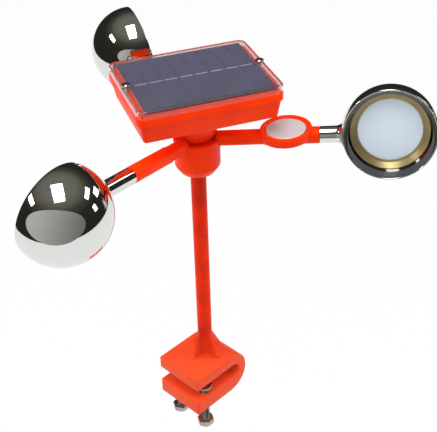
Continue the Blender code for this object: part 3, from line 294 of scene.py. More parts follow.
def add_node(tree, kind, inputs=None, **settings):
    """Add one node with its settings, and set or link its inputs, given by name or number."""
    made = tree.nodes.new(kind)
    for name, value in settings.items():
        setattr(made, name, value)
    for name, value in (inputs or {}).items():
        if isinstance(value, bpy.types.NodeSocket):
            tree.links.new(value, made.inputs[name])
        else:
            made.inputs[name].default_value = value
    return made


def rgba(base):
    """A colour as red, green, blue and full alpha."""
    return (*base[:3], 1.0)


def darker(base, share):
    """A share of a linear colour."""
    return rgba([value * share for value in base[:3]])


def start_material(name, base, roughness, metallic=0.0, **values):
    """Start a material on one Principled shader and set its plain values."""
    material = bpy.data.materials.new(name)
    material.use_nodes = True
    tree = material.node_tree
    shader = tree.nodes["Principled BSDF"]
    shader.inputs["Base Color"].default_value = rgba(base)
    shader.inputs["Roughness"].default_value = roughness
    shader.inputs["Metallic"].default_value = metallic
    for socket, value in values.items():
        shader.inputs[socket.replace("_", " ")].default_value = value
    return material, tree, shader


def show(tree, shader):
    """Let a shader be what a material shows."""
    tree.links.new(shader.outputs[0], tree.nodes["Material Output"].inputs["Surface"])


def uneven(tree, place, size, detail, low, high):
    """A value that drifts between two numbers, in blotches about one size across, in metres."""
    noise = add_node(tree, "ShaderNodeTexNoise", {"Vector": place, "Scale": 1 / size, "Detail": detail})
    spread = {"Value": noise.outputs["Fac"], "From Min": 0.3, "From Max": 0.7, "To Min": low, "To Max": high}
    return add_node(tree, "ShaderNodeMapRange", spread).outputs["Result"]


def mottled(tree, place, size, detail, amount, first, second):
    """A colour that drifts by up to an amount towards a second one, in blotches about one size across."""
    mix = {"Factor": uneven(tree, place, size, detail, 0.0, amount), 6: first, 7: second}
    return add_node(tree, "ShaderNodeMix", mix, data_type="RGBA").outputs[2]


def grained(tree, shader, place, size, detail, depth, strength):
    """Let a grain of this size and depth, in metres, raise the surface."""
    noise = add_node(tree, "ShaderNodeTexNoise", {"Vector": place, "Scale": 1 / size, "Detail": detail})
    height = {"Height": noise.outputs["Fac"], "Distance": depth, "Strength": strength}
    tree.links.new(add_node(tree, "ShaderNodeBump", height).outputs["Normal"], shader.inputs["Normal"])


def moulded_abs(name, main, deep, foot=None):
    """Injection-moulded ABS: satin gloss, a fine spark-eroded grain and a slight drift of colour.

    The real grain is about 0.1 mm and can't show, so it is drawn at 0.5 mm. A foot colour is what the plastic
    turns to where the thick clamp starts; above it, on the post, the main colour is darkened as painted shade of
    the rotor's shadow.
    """
    material, tree, shader = start_material(name, main, 0.4, IOR=1.53, Specular_IOR_Level=0.16)
    shader.inputs["Specular Tint"].default_value = linear("#FFB496")
    place = add_node(tree, "ShaderNodeTexCoord").outputs["Object"]
    tones = [rgba(main), rgba(deep)]
    if foot is not None:
        # Up the post the clamp's colour fades into the post's red, darkened as painted shade of the rotor's
        # shadow.
        height = add_node(tree, "ShaderNodeSeparateXYZ", {0: place}).outputs[2]
        rise = {"Value": height, "From Min": POST_SHADE_HEIGHTS[0], "From Max": POST_SHADE_HEIGHTS[1]}
        share = add_node(tree, "ShaderNodeMapRange", rise).outputs["Result"]
        mixes = [{"Factor": share, 6: rgba(foot), 7: tone} for tone in tones]
        tones = [add_node(tree, "ShaderNodeMix", mix, data_type="RGBA").outputs[2] for mix in mixes]
    tree.links.new(mottled(tree, place, 35 * MM, 2.0, 1.0, *tones), shader.inputs["Base Color"])
    tree.links.new(uneven(tree, place, 6 * MM, 2.0, 0.35, 0.46), shader.inputs["Roughness"])
    grained(tree, shader, place, 0.5 * MM, 3.0, 0.02 * MM, 0.5)
    return material


def plated_chrome(name, base, roughness=0.045):
    """Bright chrome plated on plastic: a mirror that still runs in faint, wide waves from the moulding."""
    material, tree, shader = start_material(name, base, roughness, 1.0)
    place = add_node(tree, "ShaderNodeTexCoord").outputs["Object"]
    grained(tree, shader, place, 16 * MM, 1.0, 0.05 * MM, 0.5)
    return material


def turned_gold(name, base):
    """Gold-coloured plating on a turned ring, with fine rings drawn 0.4 mm apart so that they show."""
    material, tree, shader = start_material(name, base, 0.36, 0.7)
    around = add_node(tree, "ShaderNodeUVMap", uv_map="Around").outputs[0]
    run = add_node(tree, "ShaderNodeSeparateXYZ", {0: around}).outputs[1]
    rings = add_node(tree, "ShaderNodeMath", {0: run, 1: 2 * math.pi / 0.4}, operation="MULTIPLY")
    wave = add_node(tree, "ShaderNodeMath", {0: rings.outputs[0]}, operation="SINE")
    height = {"Height": wave.outputs[0], "Distance": 0.01 * MM, "Strength": 0.6}
    tree.links.new(add_node(tree, "ShaderNodeBump", height).outputs["Normal"], shader.inputs["Normal"])
    place = add_node(tree, "ShaderNodeTexCoord").outputs["Object"]
    tone = mottled(tree, place, 9 * MM, 2.0, 0.45, rgba(base), darker(base, 0.62))
    tree.links.new(tone, shader.inputs["Base Color"])
    return material


def mirror_film(name, base, roughness, metallic):
    """A silvered acrylic mirror with a coloured back: flat and clean, with the faintest ripple. It is mostly
    diffuse, so its pale colour is painted reflection of the bright room over the mirror's own tint.
    """
    material, tree, shader = start_material(name, base, roughness, metallic)
    place = add_node(tree, "ShaderNodeTexCoord").outputs["Object"]
    tone = mottled(tree, place, 22 * MM, 1.0, 0.12, rgba(base), (1.0, 1.0, 1.0, 1.0))
    tree.links.new(tone, shader.inputs["Base Color"])
    grained(tree, shader, place, 22 * MM, 1.0, 0.01 * MM, 0.3)
    return material


def plated_steel(name, base, roughness=0.3):
    """Zinc-plated steel: dull silver with a cloudy passivation, from patches about 3 mm across."""
    material, tree, shader = start_material(name, base, roughness, 1.0)
    place = add_node(tree, "ShaderNodeTexCoord").outputs["Object"]
    tone = mottled(tree, place, 3 * MM, 4.0, 1.0, rgba(base), darker(base, 0.72))
    tree.links.new(tone, shader.inputs["Base Color"])
    gloss = uneven(tree, place, 3 * MM, 4.0, roughness * 0.75, roughness * 1.4)
    tree.links.new(gloss, shader.inputs["Roughness"])
    grained(tree, shader, place, 0.6 * MM, 3.0, 0.02 * MM, 0.5)
    return material


def clear_polycarbonate(name, base):
    """Clear moulded polycarbonate, IOR 1.58: glossy, with lamps let straight through to what it covers. Its faint
    pink tint is painted light from the orange tray around it.
    """
    material, tree, shader = start_material(name, base, 0.08, IOR=1.58, Transmission_Weight=0.98)
    place = add_node(tree, "ShaderNodeTexCoord").outputs["Object"]
    grained(tree, shader, place, 14 * MM, 1.0, 0.03 * MM, 0.3)
    shadow = add_node(tree, "ShaderNodeLightPath").outputs["Is Shadow Ray"]
    # The lamps' light through the cover takes its faint pink, painted light from the orange tray.
    clear = add_node(tree, "ShaderNodeBsdfTransparent", {"Color": rgba(base)}).outputs[0]
    show(tree, add_node(tree, "ShaderNodeMixShader", {0: shadow, 1: shader.outputs[0], 2: clear}))
    return material


def solar_laminate(name, base):
    """Blue-grey silicon cells under a satin film: cut strips 15.8 mm wide, with hair-fine silver fingers.

    The real fingers are 0.1 mm wide and 1.5 mm apart. They are drawn twice as wide.
    """
    material, tree, shader = start_material(name, base, 0.22, IOR=1.5, Coat_Weight=0.35, Coat_Roughness=0.12)
    place = add_node(tree, "ShaderNodeTexCoord").outputs["Object"]
    turn = {"Vector": place, "Rotation": (0, 0, BOX_TURN)}
    turned_place = add_node(tree, "ShaderNodeMapping", turn, vector_type="TEXTURE").outputs[0]
    along = add_node(tree, "ShaderNodeSeparateXYZ", {0: turned_place}).outputs[0]

    def striped(under, line, pitch, width, strength):
        """Draw lines of one width over a colour, one to each pitch."""
        run = add_node(tree, "ShaderNodeMath", {0: along, 1: pitch}, operation="FLOORED_MODULO")
        drawn = add_node(tree, "ShaderNodeMath", {0: run.outputs[0], 1: width}, operation="LESS_THAN")
        share = add_node(tree, "ShaderNodeMath", {0: drawn.outputs[0], 1: strength}, operation="MULTIPLY")
        mix = {"Factor": share.outputs[0], 6: under, 7: line}
        return add_node(tree, "ShaderNodeMix", mix, data_type="RGBA").outputs[2]

    cells = mottled(tree, turned_place, 12 * MM, 3.0, 1.0, rgba(base), darker(base, 0.70))
    with_gaps = striped(cells, darker(base, 0.45), 15.8 * MM, 0.7 * MM, 1.0)
    with_fingers = striped(with_gaps, linear("#8A93A6"), 1.5 * MM, 0.2 * MM, 0.30)
    tree.links.new(with_fingers, shader.inputs["Base Color"])
    grained(tree, shader, turned_place, 1.2 * MM, 2.0, 0.01 * MM, 0.4)
    return material


def plain_moulding(name, base, roughness):
    """A plain moulded or coated surface with a slight mottle."""
    material, tree, shader = start_material(name, base, roughness)
    place = add_node(tree, "ShaderNodeTexCoord").outputs["Object"]
    tone = mottled(tree, place, 4 * MM, 3.0, 0.5, rgba(base), darker(base, 0.7))
    tree.links.new(tone, shader.inputs["Base Color"])
    grained(tree, shader, place, 0.6 * MM, 2.0, 0.02 * MM, 0.5)
    return material


def finish(name):
    """Return one of the object's finishes, made on first use."""
    found = bpy.data.materials.get(name)
    if found:
        return found
    colours = bpy.context.scene.repeller_finishes
    finishes = {
        ORANGE: (moulded_abs, colours.orange, colours.orange_deep),
        # The post's red holds painted shade of the rotor's shadow.
        RED: (moulded_abs, colours.post_red_painted_shade, colours.orange_deep, colours.clamp_orange),
        CHROME: (plated_chrome, colours.chrome),
        "smoked_chrome": (plated_chrome, colours.dark_chrome, 0.09),
        "turned_gold": (turned_gold, colours.gold),
        # The mirrors are mostly diffuse: their pale colours are painted reflection of the bright room.
        "blue_mirror_acrylic": (mirror_film, colours.blue_mirror, 0.2, 0.0),
        "satin_mirror_film": (mirror_film, colours.grey_mirror, 0.28, 0.15),
        ZINC: (plated_steel, colours.zinc),
        STAINLESS: (plated_steel, linear("#D8D8D8"), 0.12),
        "bright_steel": (plated_steel, linear("#BEBEBE"), 0.22),
        CLEAR: (clear_polycarbonate, colours.cover),
        "solar_laminate": (solar_laminate, colours.cells),
        "tinned_copper": (plain_moulding, colours.ribbon, 0.4),
        "white_acetal": (plain_moulding, linear("#E6E6E0"), 0.45),
        "white_foam": (plain_moulding, linear("#E4E0DE"), 0.85),
        "black_moulding": (plain_moulding, linear("#1C1C1C"), 0.45),
        "battery_sleeve": (plain_moulding, linear("#2E6C9C"), 0.40),
        "green_solder_mask": (plain_moulding, linear("#1C6A38"), 0.42),
        "red_wire_jacket": (plain_moulding, linear("#A81C1C"), 0.50),
    }
    build, *values = finishes[name]
    return build(name, *values)


SLOT_FINISHES = {
    "orange_plastic": ORANGE,
    "chrome": CHROME,
    "dark_chrome": "smoked_chrome",
    "gold": "turned_gold",
    "blue_mirror": "blue_mirror_acrylic",
    "grey_mirror": "satin_mirror_film",
    "zinc": ZINC,
    "steel": "bright_steel",
    "screw_chrome": STAINLESS,
    "white_plastic": "white_acetal",
    "clear_plastic": CLEAR,
    "solar_cells": "solar_laminate",
    "foam_tape": "white_foam",
    "black_plastic": "black_moulding",
    "battery_wrap": "battery_sleeve",
    "circuit_board": "green_solder_mask",
    "wire_jacket": "red_wire_jacket",
}


def filleted(corners, steps=5, closed=True):
    """An outline through corners of (x, y, radius), each rounded by its radius."""
    count = len(corners)
    points = []
    for place, (x, y, radius) in enumerate(corners):
        here = Vector((x, y))
        if radius == 0 or (not closed and place in (0, count - 1)):
            points.append((x, y))
            continue
        before = Vector(corners[place - 1][:2]) - here
        after = Vector(corners[(place + 1) % count][:2]) - here
        reach = min(before.length, after.length) * 0.49
        before.normalize()
        after.normalize()
        half = math.acos(max(-1.0, min(1.0, before.dot(after)))) / 2
        if half > math.radians(89):
            points.append((x, y))
            continue
        radius = min(radius, reach * math.tan(half))
        middle = here + (before + after).normalized() * (radius / math.sin(half))
        start = here + before * (radius / math.tan(half)) - middle
        end = here + after * (radius / math.tan(half)) - middle
        sweep = start.angle_signed(end)
        for step in range(steps + 1):
            turn = -sweep * step / steps
            spot = middle + Matrix.Rotation(turn, 2) @ start
            points.append((spot.x, spot.y))
    return points


def as_object(name, bm):
    """Put a bmesh into the scene as an object."""
    mesh = bpy.data.meshes.new(name)
    bm.to_mesh(mesh)
    bm.free()
    item = bpy.data.objects.new(name, mesh)
    bpy.context.scene.collection.objects.link(item)
    return item


def smooth(mesh):
    """Shade a mesh smooth but for its sharp edges."""
    mesh.shade_smooth()
    mesh.set_sharp_from_angle(angle=SMOOTH_ANGLE)


def as_piece(name, bm, finish_name):
    """Make a smooth object in one finish of a bmesh."""
    bmesh.ops.recalc_face_normals(bm, faces=bm.faces)
    item = as_object(name, bm)
    item.data.materials.append(finish(finish_name))
    smooth(item.data)
    return item


def turned(name, outline, finish_name, steps=64):
    """Turn a closed (radius, height) outline about Z. Its UV map, Around, holds turn and run in mm."""
    bm = bmesh.new()
    around = bm.loops.layers.uv.new("Around")
    runs = [0.0]
    for first, second in zip(outline, outline[1:] + outline[:1]):
        runs.append(runs[-1] + math.dist(first, second) / MM)
    poles = {}
    columns = []
    for step in range(steps):
        angle = 2 * math.pi * step / steps
        column = []
        for place, (radius, height) in enumerate(outline):
            if radius <= WELD:
                if place not in poles:
                    poles[place] = bm.verts.new((0, 0, height))
                column.append(poles[place])
            else:
                column.append(bm.verts.new((radius * math.cos(angle), radius * math.sin(angle), height)))
        columns.append(column)
    count = len(outline)
    for step in range(steps):
        here = columns[step]
        after = columns[(step + 1) % steps]
        for low in range(count):
            high = (low + 1) % count
            corners = []
            marks = []
            spots = (
                (here[low], step, runs[low]),
                (after[low], step + 1, runs[low]),
                (after[high], step + 1, runs[low + 1]),
                (here[high], step, runs[low + 1]),
            )
            for vert, turn, run in spots:
                if vert not in corners:
                    corners.append(vert)
                    marks.append((turn / steps, run))
            if len(corners) > 2:
                face = bm.faces.new(corners)
                for loop, mark in zip(face.loops, marks):
                    loop[around].uv = mark
    return as_piece(name, bm, finish_name)


def lofted(name, loops, finish_name):
    """Skin closed loops of equally many points, with a face over each end."""
    bm = bmesh.new()
    rings = [[bm.verts.new(point) for point in loop] for loop in loops]
    for lower, upper in zip(rings, rings[1:]):
        for here in range(len(lower)):
            after = (here + 1) % len(lower)
            bm.faces.new((lower[here], lower[after], upper[after], upper[here]))
    bm.faces.new(reversed(rings[0]))
    bm.faces.new(rings[-1])
    return as_piece(name, bm, finish_name)


def rounded_loop(half_length, half_width, corner, height, steps):
    """A rounded rectangle as a loop of points at one height."""
    points = []
    for quarter in range(4):
        centre_x = (half_length - corner) * (1 if quarter in (0, 3) else -1)
        centre_y = (half_width - corner) * (1 if quarter in (0, 1) else -1)
        for step in range(steps + 1):
            angle = math.pi / 2 * (quarter + step / steps)
            points.append((centre_x + corner * math.cos(angle), centre_y + corner * math.sin(angle), height))
    return points


def moulded_box(name, half_length, half_width, corner, profile, finish_name, steps=10):
    """Loft a box whose wall follows a profile of (inset, height) points."""
    loops = []
    for inset, height in profile:
        radius = max(corner - inset, corner / 5)
        loops.append(rounded_loop(half_length - inset, half_width - inset, radius, height, steps))
    return lofted(name, loops, finish_name)


def rod(name, radius, low, high, finish_name, steps):
    """A plain round bar along Z between two heights."""
    return turned(name, [(0, low), (radius, low), (radius, high), (0, high)], finish_name, steps)


def square_bar(name, size, start, end, corner, edge):
    """An orange bar of rounded square section along X, with rounded ends."""
    core = size * 0.2
    profile = filleted([(core, start, 0), (0, start, edge), (0, end, edge), (core, end, 0)], 3, False)
    loops = []
    for inset, place in profile:
        half = size / 2 - inset
        loop = rounded_loop(half, half, max(corner - inset, corner / 4), 0, 6)
        loops.append([(place, x, y) for x, y, _ in loop])
    return lofted(name, loops, ORANGE)


def along_x(item):
    """Lay a shape made along Z along X instead."""
    item.data.transform(Matrix.Rotation(math.pi / 2, 4, "Y"))
    return item


def settle(item):
    """Replace an object's mesh by what its modifiers make of it, with doubled points merged."""
    graph = bpy.context.evaluated_depsgraph_get()
    mesh = bpy.data.meshes.new_from_object(item.evaluated_get(graph))
    item.modifiers.clear()
    bm = bmesh.new()
    bm.from_mesh(mesh)
    bmesh.ops.remove_doubles(bm, verts=bm.verts, dist=WELD)
    bmesh.ops.dissolve_degenerate(bm, edges=bm.edges, dist=WELD)
    bm.to_mesh(mesh)
    bm.free()
    item.data = mesh
    smooth(mesh)
    return item


def combine(item, other, operation):
    """Join or cut one object with another, which is used up."""
    modifier = item.modifiers.new(operation.title(), "BOOLEAN")
    modifier.operation = operation
    modifier.solver = "EXACT"
    modifier.object = other
    settle(item)
    bpy.data.objects.remove(other, do_unlink=True)
    return item


def join(item, other):
    """Make the other shape part of this object."""
    return combine(item, other, "UNION")


def cut(item, other):
    """Cut the other shape out of this object."""
    return combine(item, other, "DIFFERENCE")


def soften(item, width, segments):
    """Round an object's sharp edges."""
    modifier = item.modifiers.new("Edges", "BEVEL")
    modifier.width = width
    modifier.segments = segments
    modifier.limit_method = "ANGLE"
    modifier.angle_limit = SOFTEN_ANGLE
    return settle(item)


def placed(item, matrix):
    """Put a piece in its place, in its mesh."""
    item.data.transform(matrix)
    return item


def dressed(item, body, slot, *nodes):
    """Let a finished piece ride on its body in place of its solid nodes."""
    if not item.data.polygons:
        raise RuntimeError(f"{item.name} came out empty")
    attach(item, body)
    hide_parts(*nodes)
    return item


def arm_frame(side):
    """Where an arm's axis lies: X outwards along it, Y level and counterclockwise."""
    joint = JOINTS[f"cup_roll_{side}"]
    outwards = Vector(joint["axis"]).normalized()
    level = Vector((0, 0, 1)).cross(outwards).normalized()
    upwards = outwards.cross(level)
    turn = Matrix((outwards, level, upwards)).transposed().to_4x4()
    return Matrix.Translation(joint["pos_m"]) @ turn


def sleeve_span(sizes, side):
    """Where an arm's outer part starts and ends. The arm with the round mirror reaches further out."""
    end = sizes.sleeve_end if side == "right" else sizes.plain_sleeve_end
    return end - sizes.sleeve_length, end


def box_frame():
    """The solar box's frame: X along its length, on the arms' level."""
    return Matrix.Translation((0, 0, ARM_HEIGHT)) @ Matrix.Rotation(BOX_TURN, 4, "Z")


def above_box(low, high, height):
    """A move to over the middle of a box, at a height."""
    return Matrix.Translation(((low.x + high.x) / 2, (low.y + high.y) / 2, height))


def hexagon(flats):
    """A hexagon's corners, with two of its flats facing along X."""
    radius = flats / math.sqrt(3)
    turns = [math.radians(30 + 60 * number) for number in range(6)]
    return [(radius * math.cos(turn), radius * math.sin(turn)) for turn in turns]


def node_group(name, inputs, output):
    """Start a node group with named inputs, given as (name, kind), and one shape to give back."""
    tree = bpy.data.node_groups.new(name, "GeometryNodeTree")
    for socket, kind in inputs:
        tree.interface.new_socket(socket, in_out="INPUT", socket_type=f"NodeSocket{kind}")
    tree.interface.new_socket(output, in_out="OUTPUT", socket_type="NodeSocketGeometry")
    return tree, add_node(tree, "NodeGroupInput").outputs


def end_group(tree, geometry, material):
    """End a node group with real meshes in one finish."""
    real = add_node(tree, "GeometryNodeRealizeInstances", {0: geometry})
    given = {"Geometry": real.outputs[0], "Material": material}
    add_node(tree, "NodeGroupOutput", {0: add_node(tree, "GeometryNodeSetMaterial", given).outputs[0]})
    return tree


def copies_tree():
    """A node group that repeats a shape in steps and turns about Z, and gives the copies one finish."""
    inputs = (
        ("Shape", "Geometry"),
        ("Copies", "Int"),
        ("Step", "Vector"),
        ("Turn", "Float"),
        ("Finish", "Material"),
    )
    tree, given = node_group("copies_in_a_row_or_ring", inputs, "Shapes")
    number = add_node(tree, "GeometryNodeInputIndex").outputs[0]
    place = add_node(tree, "ShaderNodeVectorMath", {0: given["Step"], "Scale": number}, operation="SCALE")
    points = add_node(tree, "GeometryNodePoints", {"Count": given["Copies"], "Position": place.outputs[0]})
    angle = add_node(tree, "ShaderNodeMath", {0: given["Turn"], 1: number}, operation="MULTIPLY")
    turn = add_node(tree, "ShaderNodeCombineXYZ", {"Z": angle.outputs[0]})
    copies = add_node(
        tree,
        "GeometryNodeInstanceOnPoints",
        {"Points": points.outputs[0], "Instance": given["Shape"], "Rotation": turn.outputs[0]},
    )
    return end_group(tree, copies.outputs[0], given["Finish"])


def thread_tree():
    """A node group that cuts a V thread into a round bar along Z, between two heights."""
    inputs = (
        ("Bar", "Geometry"),
        ("Pitch", "Float"),
        ("Depth", "Float"),
        ("Start", "Float"),
        ("End", "Float"),
        ("Finish", "Material"),
    )
    tree, given = node_group("thread_on_a_bar", inputs, "Threaded")
    place = add_node(tree, "GeometryNodeInputPosition").outputs[0]
    values = {name: given[name] for name in ("Pitch", "Depth", "Start", "End")}
    values.update(zip("xyz", add_node(tree, "ShaderNodeSeparateXYZ", {0: place}).outputs))
    sums = (
        ("angle", "ARCTAN2", "y", "x"),
        ("turn", "DIVIDE", "angle", 2 * math.pi),
        ("rise", "DIVIDE", "z", "Pitch"),
        ("turns left", "SUBTRACT", "rise", "turn"),
        ("share", "FRACT", "turns left"),
        ("off middle", "SUBTRACT", "share", 0.5),
        ("half valley", "ABSOLUTE", "off middle"),
        ("valley", "MULTIPLY", "half valley", 2.0),
        ("above", "GREATER_THAN", "z", "Start"),
        ("below", "LESS_THAN", "z", "End"),
        ("inside", "MULTIPLY", "above", "below"),
        ("full depth", "MULTIPLY", "valley", "Depth"),
        ("depth", "MULTIPLY", "full depth", "inside"),
        ("inwards", "MULTIPLY", "depth", -1.0),
    )
    for name, operation, *terms in sums:
        inputs = {number: values.get(term, term) for number, term in enumerate(terms)}
        values[name] = add_node(tree, "ShaderNodeMath", inputs, operation=operation).outputs[0]
    flat = add_node(tree, "ShaderNodeCombineXYZ", {"X": values["x"], "Y": values["y"]})
    away = add_node(tree, "ShaderNodeVectorMath", {0: flat.outputs[0]}, operation="NORMALIZE").outputs[0]
    inwards = {0: away, "Scale": values["inwards"]}
    shift = add_node(tree, "ShaderNodeVectorMath", inwards, operation="SCALE").outputs[0]
    moved = add_node(tree, "GeometryNodeSetPosition", {"Geometry": given["Bar"], "Offset": shift})
    return end_group(tree, moved.outputs[0], given["Finish"])


def run_tree(item, builder, name, values):
    """Run a node group on an object and keep the plain mesh that it makes."""
    tree = bpy.data.node_groups.get(name) or builder()
    modifier = item.modifiers.new(name, "NODES")
    modifier.node_group = tree
    for socket in tree.interface.items_tree:
        if socket.in_out == "INPUT" and socket.name in values:
            modifier[socket.identifier] = values[socket.name]
    return settle(item)


def copied(item, copies, step, turn, finish_name):
    """Repeat a shape in a row or ring."""
    values = {"Copies": copies, "Step": step, "Turn": turn, "Finish": finish(finish_name)}
    return run_tree(item, copies_tree, "copies_in_a_row_or_ring", values)


class RepellerPiece:
    """What the operators that build pieces share."""

    bl_options = {"REGISTER", "UNDO"}


class REPELLER_OT_clamp(RepellerPiece, bpy.types.Operator):
    """Build the clamp with its ribs and post"""

    bl_idname = "repeller.clamp"
    bl_label = "Clamp and Post"

    def execute(self, context):
        sizes = context.scene.repeller_clamp
        top = sizes.upper_jaw
        gap_foot = -sizes.jaw_gap
        bottom = gap_foot - sizes.lower_jaw
        bend_end = sizes.slot_reach + sizes.bend_wall
        open_end = -sizes.open_reach
        edge = sizes.edge
        outer = (top - bottom) / 2
        inner = sizes.jaw_gap / 2
        outline = filleted(
            [
                (open_end, bottom, edge),
                (bend_end, bottom, outer),
                (bend_end, top, outer),
                (open_end, top, edge),
                (open_end, 0, edge),
                (sizes.slot_reach, 0, inner),
                (sizes.slot_reach, gap_foot, inner),
                (open_end, gap_foot, edge),
            ],
            10,
        )
        loops = [[(x, y, z) for y, z in outline] for x in (-sizes.half_width, sizes.half_width)]
        clamp = soften(lofted("clamp_moulding", loops, RED), edge, 4)
        post_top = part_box("clamp_post")[1].z
        radius = sizes.post_radius
        foot_radius = radius + POST_FILLET
        post = filleted(
            [
                (0, top / 2, 0),
                (foot_radius, top / 2, 0),
                (foot_radius, top, 0),
                (radius, top, POST_FILLET),
                (radius, post_top, 0.5 * MM),
                (0, post_top, 0),
            ]
        )
        join(clamp, turned("post", post, RED, 64))
        join(clamp, self.ribs(sizes, top))
        for name in ("right", "left"):
            middle = above_box(*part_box(f"clamp_bolt_{name}"), 0)
            hole = rod("hole", BOLT_HOLE_RADIUS, bottom - edge, gap_foot + edge, RED, 32)
            cut(clamp, placed(hole, middle))
        dressed(clamp, "stand", "orange_plastic", "clamp_post")
        return {"FINISHED"}

    def ribs(self, sizes, top):
        """The four ribs round the post's foot, sunk a little into the plate."""
        reach = sizes.rib_reach
        rib_top = top + sizes.rib_height * reach / (reach - sizes.post_radius)
        root = top - 3 * MM
        toe = top + 0.5 * MM
        side = filleted([(0, root, 0), (reach, root, 0), (reach, toe, 0.4 * MM), (0, rib_top, 0)], 3)
        half = sizes.rib_thickness / 2
        rib = lofted("rib", [[(x, y, z) for x, z in side] for y in (-half, half)], RED)
        soften(rib, 0.5 * MM, 2)
        return copied(rib, 4, (0, 0, 0), math.pi / 2, RED)


class REPELLER_OT_bolts(RepellerPiece, bpy.types.Operator):
    """Build the two clamp bolts and their pads"""

    bl_idname = "repeller.bolts"
    bl_label = "Clamp Bolts"

    def execute(self, context):
        sizes = context.scene.repeller_clamp
        for side in ("right", "left"):
            low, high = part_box(f"clamp_bolt_{side}")
            bar = self.threaded_bar(f"clamp_screw_{side}", sizes, high.z - low.z)
            join(bar, self.head(sizes))
            placed(bar, above_box(low, high, low.z))
            dressed(bar, f"bolt_{side}", "zinc", f"clamp_bolt_{side}")
            low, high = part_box(f"bolt_pad_{side}")
            shape = self.pad(f"screw_pad_{side}", (high.x - low.x) / 2, high.z - low.z)
            placed(shape, above_box(low, high, low.z))
            dressed(shape, f"bolt_{side}", "zinc", f"bolt_pad_{side}")
        return {"FINISHED"}

    def head(self, sizes):
        """A hexagonal head, turned off at its corners."""
        flats = sizes.head_flats
        height = sizes.head_height
        head = lofted("head", [[(x, y, z) for x, y in hexagon(flats)] for z in (0, height)], ZINC)
        reach = flats * 0.6
        crown = flats * 0.48
        lathe = [
            (0, 0, 0),
            (crown, 0, 0),
            (reach, 1.5 * MM, 0),
            (reach, height - 1.2 * MM, 0),
            (crown, height, 0),
            (0, height, 0),
        ]
        return combine(head, turned("lathe", filleted(lathe), ZINC), "INTERSECT")

    def threaded_bar(self, name, sizes, height):
        """The shank from inside the head to its dog point, threaded in between."""
        pitch = sizes.thread_pitch
        radius = sizes.bolt_radius
        foot = sizes.head_height - 2 * MM
        shank_end = height - 3 * MM
        row_height = pitch / THREAD_ROWS
        rows = int((shank_end - sizes.head_height + 2 * MM) / row_height)
        outline = [(0, foot)]
        for row in range(rows + 1):
            outline.append((radius, foot + row * row_height))
        neck = outline[-1][1] + 0.4 * MM
        outline += [(radius - 1 * MM, neck), (BOLT_TIP_RADIUS, neck), (BOLT_TIP_RADIUS, height - 0.4 * MM)]
        outline += [(2.6 * MM, height), (0, height)]
        values = {
            "Pitch": pitch,
            "Depth": sizes.thread_depth,
            "Start": sizes.head_height + 1.5 * MM,
            "End": shank_end - 0.5 * MM,
            "Finish": finish(ZINC),
        }
        return run_tree(turned(name, outline, ZINC, 40), thread_tree, "thread_on_a_bar", values)

    def pad(self, name, radius, thick):
        """The round pad, with a pocket below for the bolt's tip and a shallow dish above."""
        pocket = 2.7 * MM
        dish = thick - 0.3 * MM
        outline = [
            (0, pocket, 0),
            (PAD_POCKET_RADIUS, pocket, 0),
            (PAD_POCKET_RADIUS, 0, 0),
            (radius * 0.7, 0, 0.3 * MM),
            (radius, thick * 0.45, 0.8 * MM),
            (radius, thick, 0.8 * MM),
            (radius * 0.55, thick, 0.3 * MM),
            (radius * 0.5, dish, 0.2 * MM),
            (0, dish, 0),
        ]
        return turned(name, filleted(outline, 4), ZINC, 56)


class REPELLER_OT_hub(RepellerPiece, bpy.types.Operator):
    """Build the hub with its three arm stubs"""

    bl_idname = "repeller.hub"
    bl_label = "Hub"

    def execute(self, context):
        sizes = context.scene.repeller_rotor
        radius = sizes.hub_radius
        bottom = -sizes.hub_depth
        top = 3 * MM
        band = radius + 0.5 * MM
        dish = radius - 2.2 * MM
        dish_floor = top - 1.2 * MM
        skirt_top = bottom + 13 * MM
        outline = [
            (SKIRT_RADIUS, bottom, 0.4 * MM),
            (radius - 5.3 * MM, bottom, 1.2 * MM),
            (radius, bottom + 8 * MM, 2.5 * MM),
            (radius, top - 3.4 * MM, 0.3 * MM),
            (band, top - 3.0 * MM, 0.3 * MM),
            (band, top, 0.8 * MM),
            (dish, top, 0.5 * MM),
            (dish, dish_floor, 0.3 * MM),
            (BEARING_RADIUS, dish_floor, 0.2 * MM),
            (BEARING_RADIUS, UPPER_SEAT, 0),
            (HUB_BORE_RADIUS, UPPER_SEAT, 0),
            (HUB_BORE_RADIUS, LOWER_SEAT, 0),
            (BEARING_RADIUS, LOWER_SEAT, 0),
            (BEARING_RADIUS, skirt_top, 0),
            (SKIRT_RADIUS, skirt_top, 0),
        ]
        hub = turned("hub_moulding", filleted(outline), ORANGE, 96)
        placed(hub, Matrix.Translation((0, 0, ARM_HEIGHT)))
        size = sizes.stub_size
        for side in SIDES:
            end = sleeve_span(sizes, side)[0] - GAP
            stub = square_bar("stub", size, 20.5 * MM, end, corner=4.2 * MM, edge=0.4 * MM)
            for face in (-1, 1):
                groove = square_bar(
                    "groove", 1.2 * MM, 26 * MM, end - 4 * MM, corner=0.3 * MM, edge=0.3 * MM
                )
                cut(stub, placed(groove, Matrix.Translation((0, face * (size / 2 + 0.3 * MM), 0))))
            spigot_end = end + STUB_SPIGOT_LENGTH
            spigot = square_bar(
                "spigot", STUB_SPIGOT_SIZE, end - 8 * MM, spigot_end, corner=2 * MM, edge=0.4 * MM
            )
            join(stub, spigot)
            join(hub, placed(stub, arm_frame(side)))
        dressed(hub, "rotor", "orange_plastic", "hub")
        return {"FINISHED"}


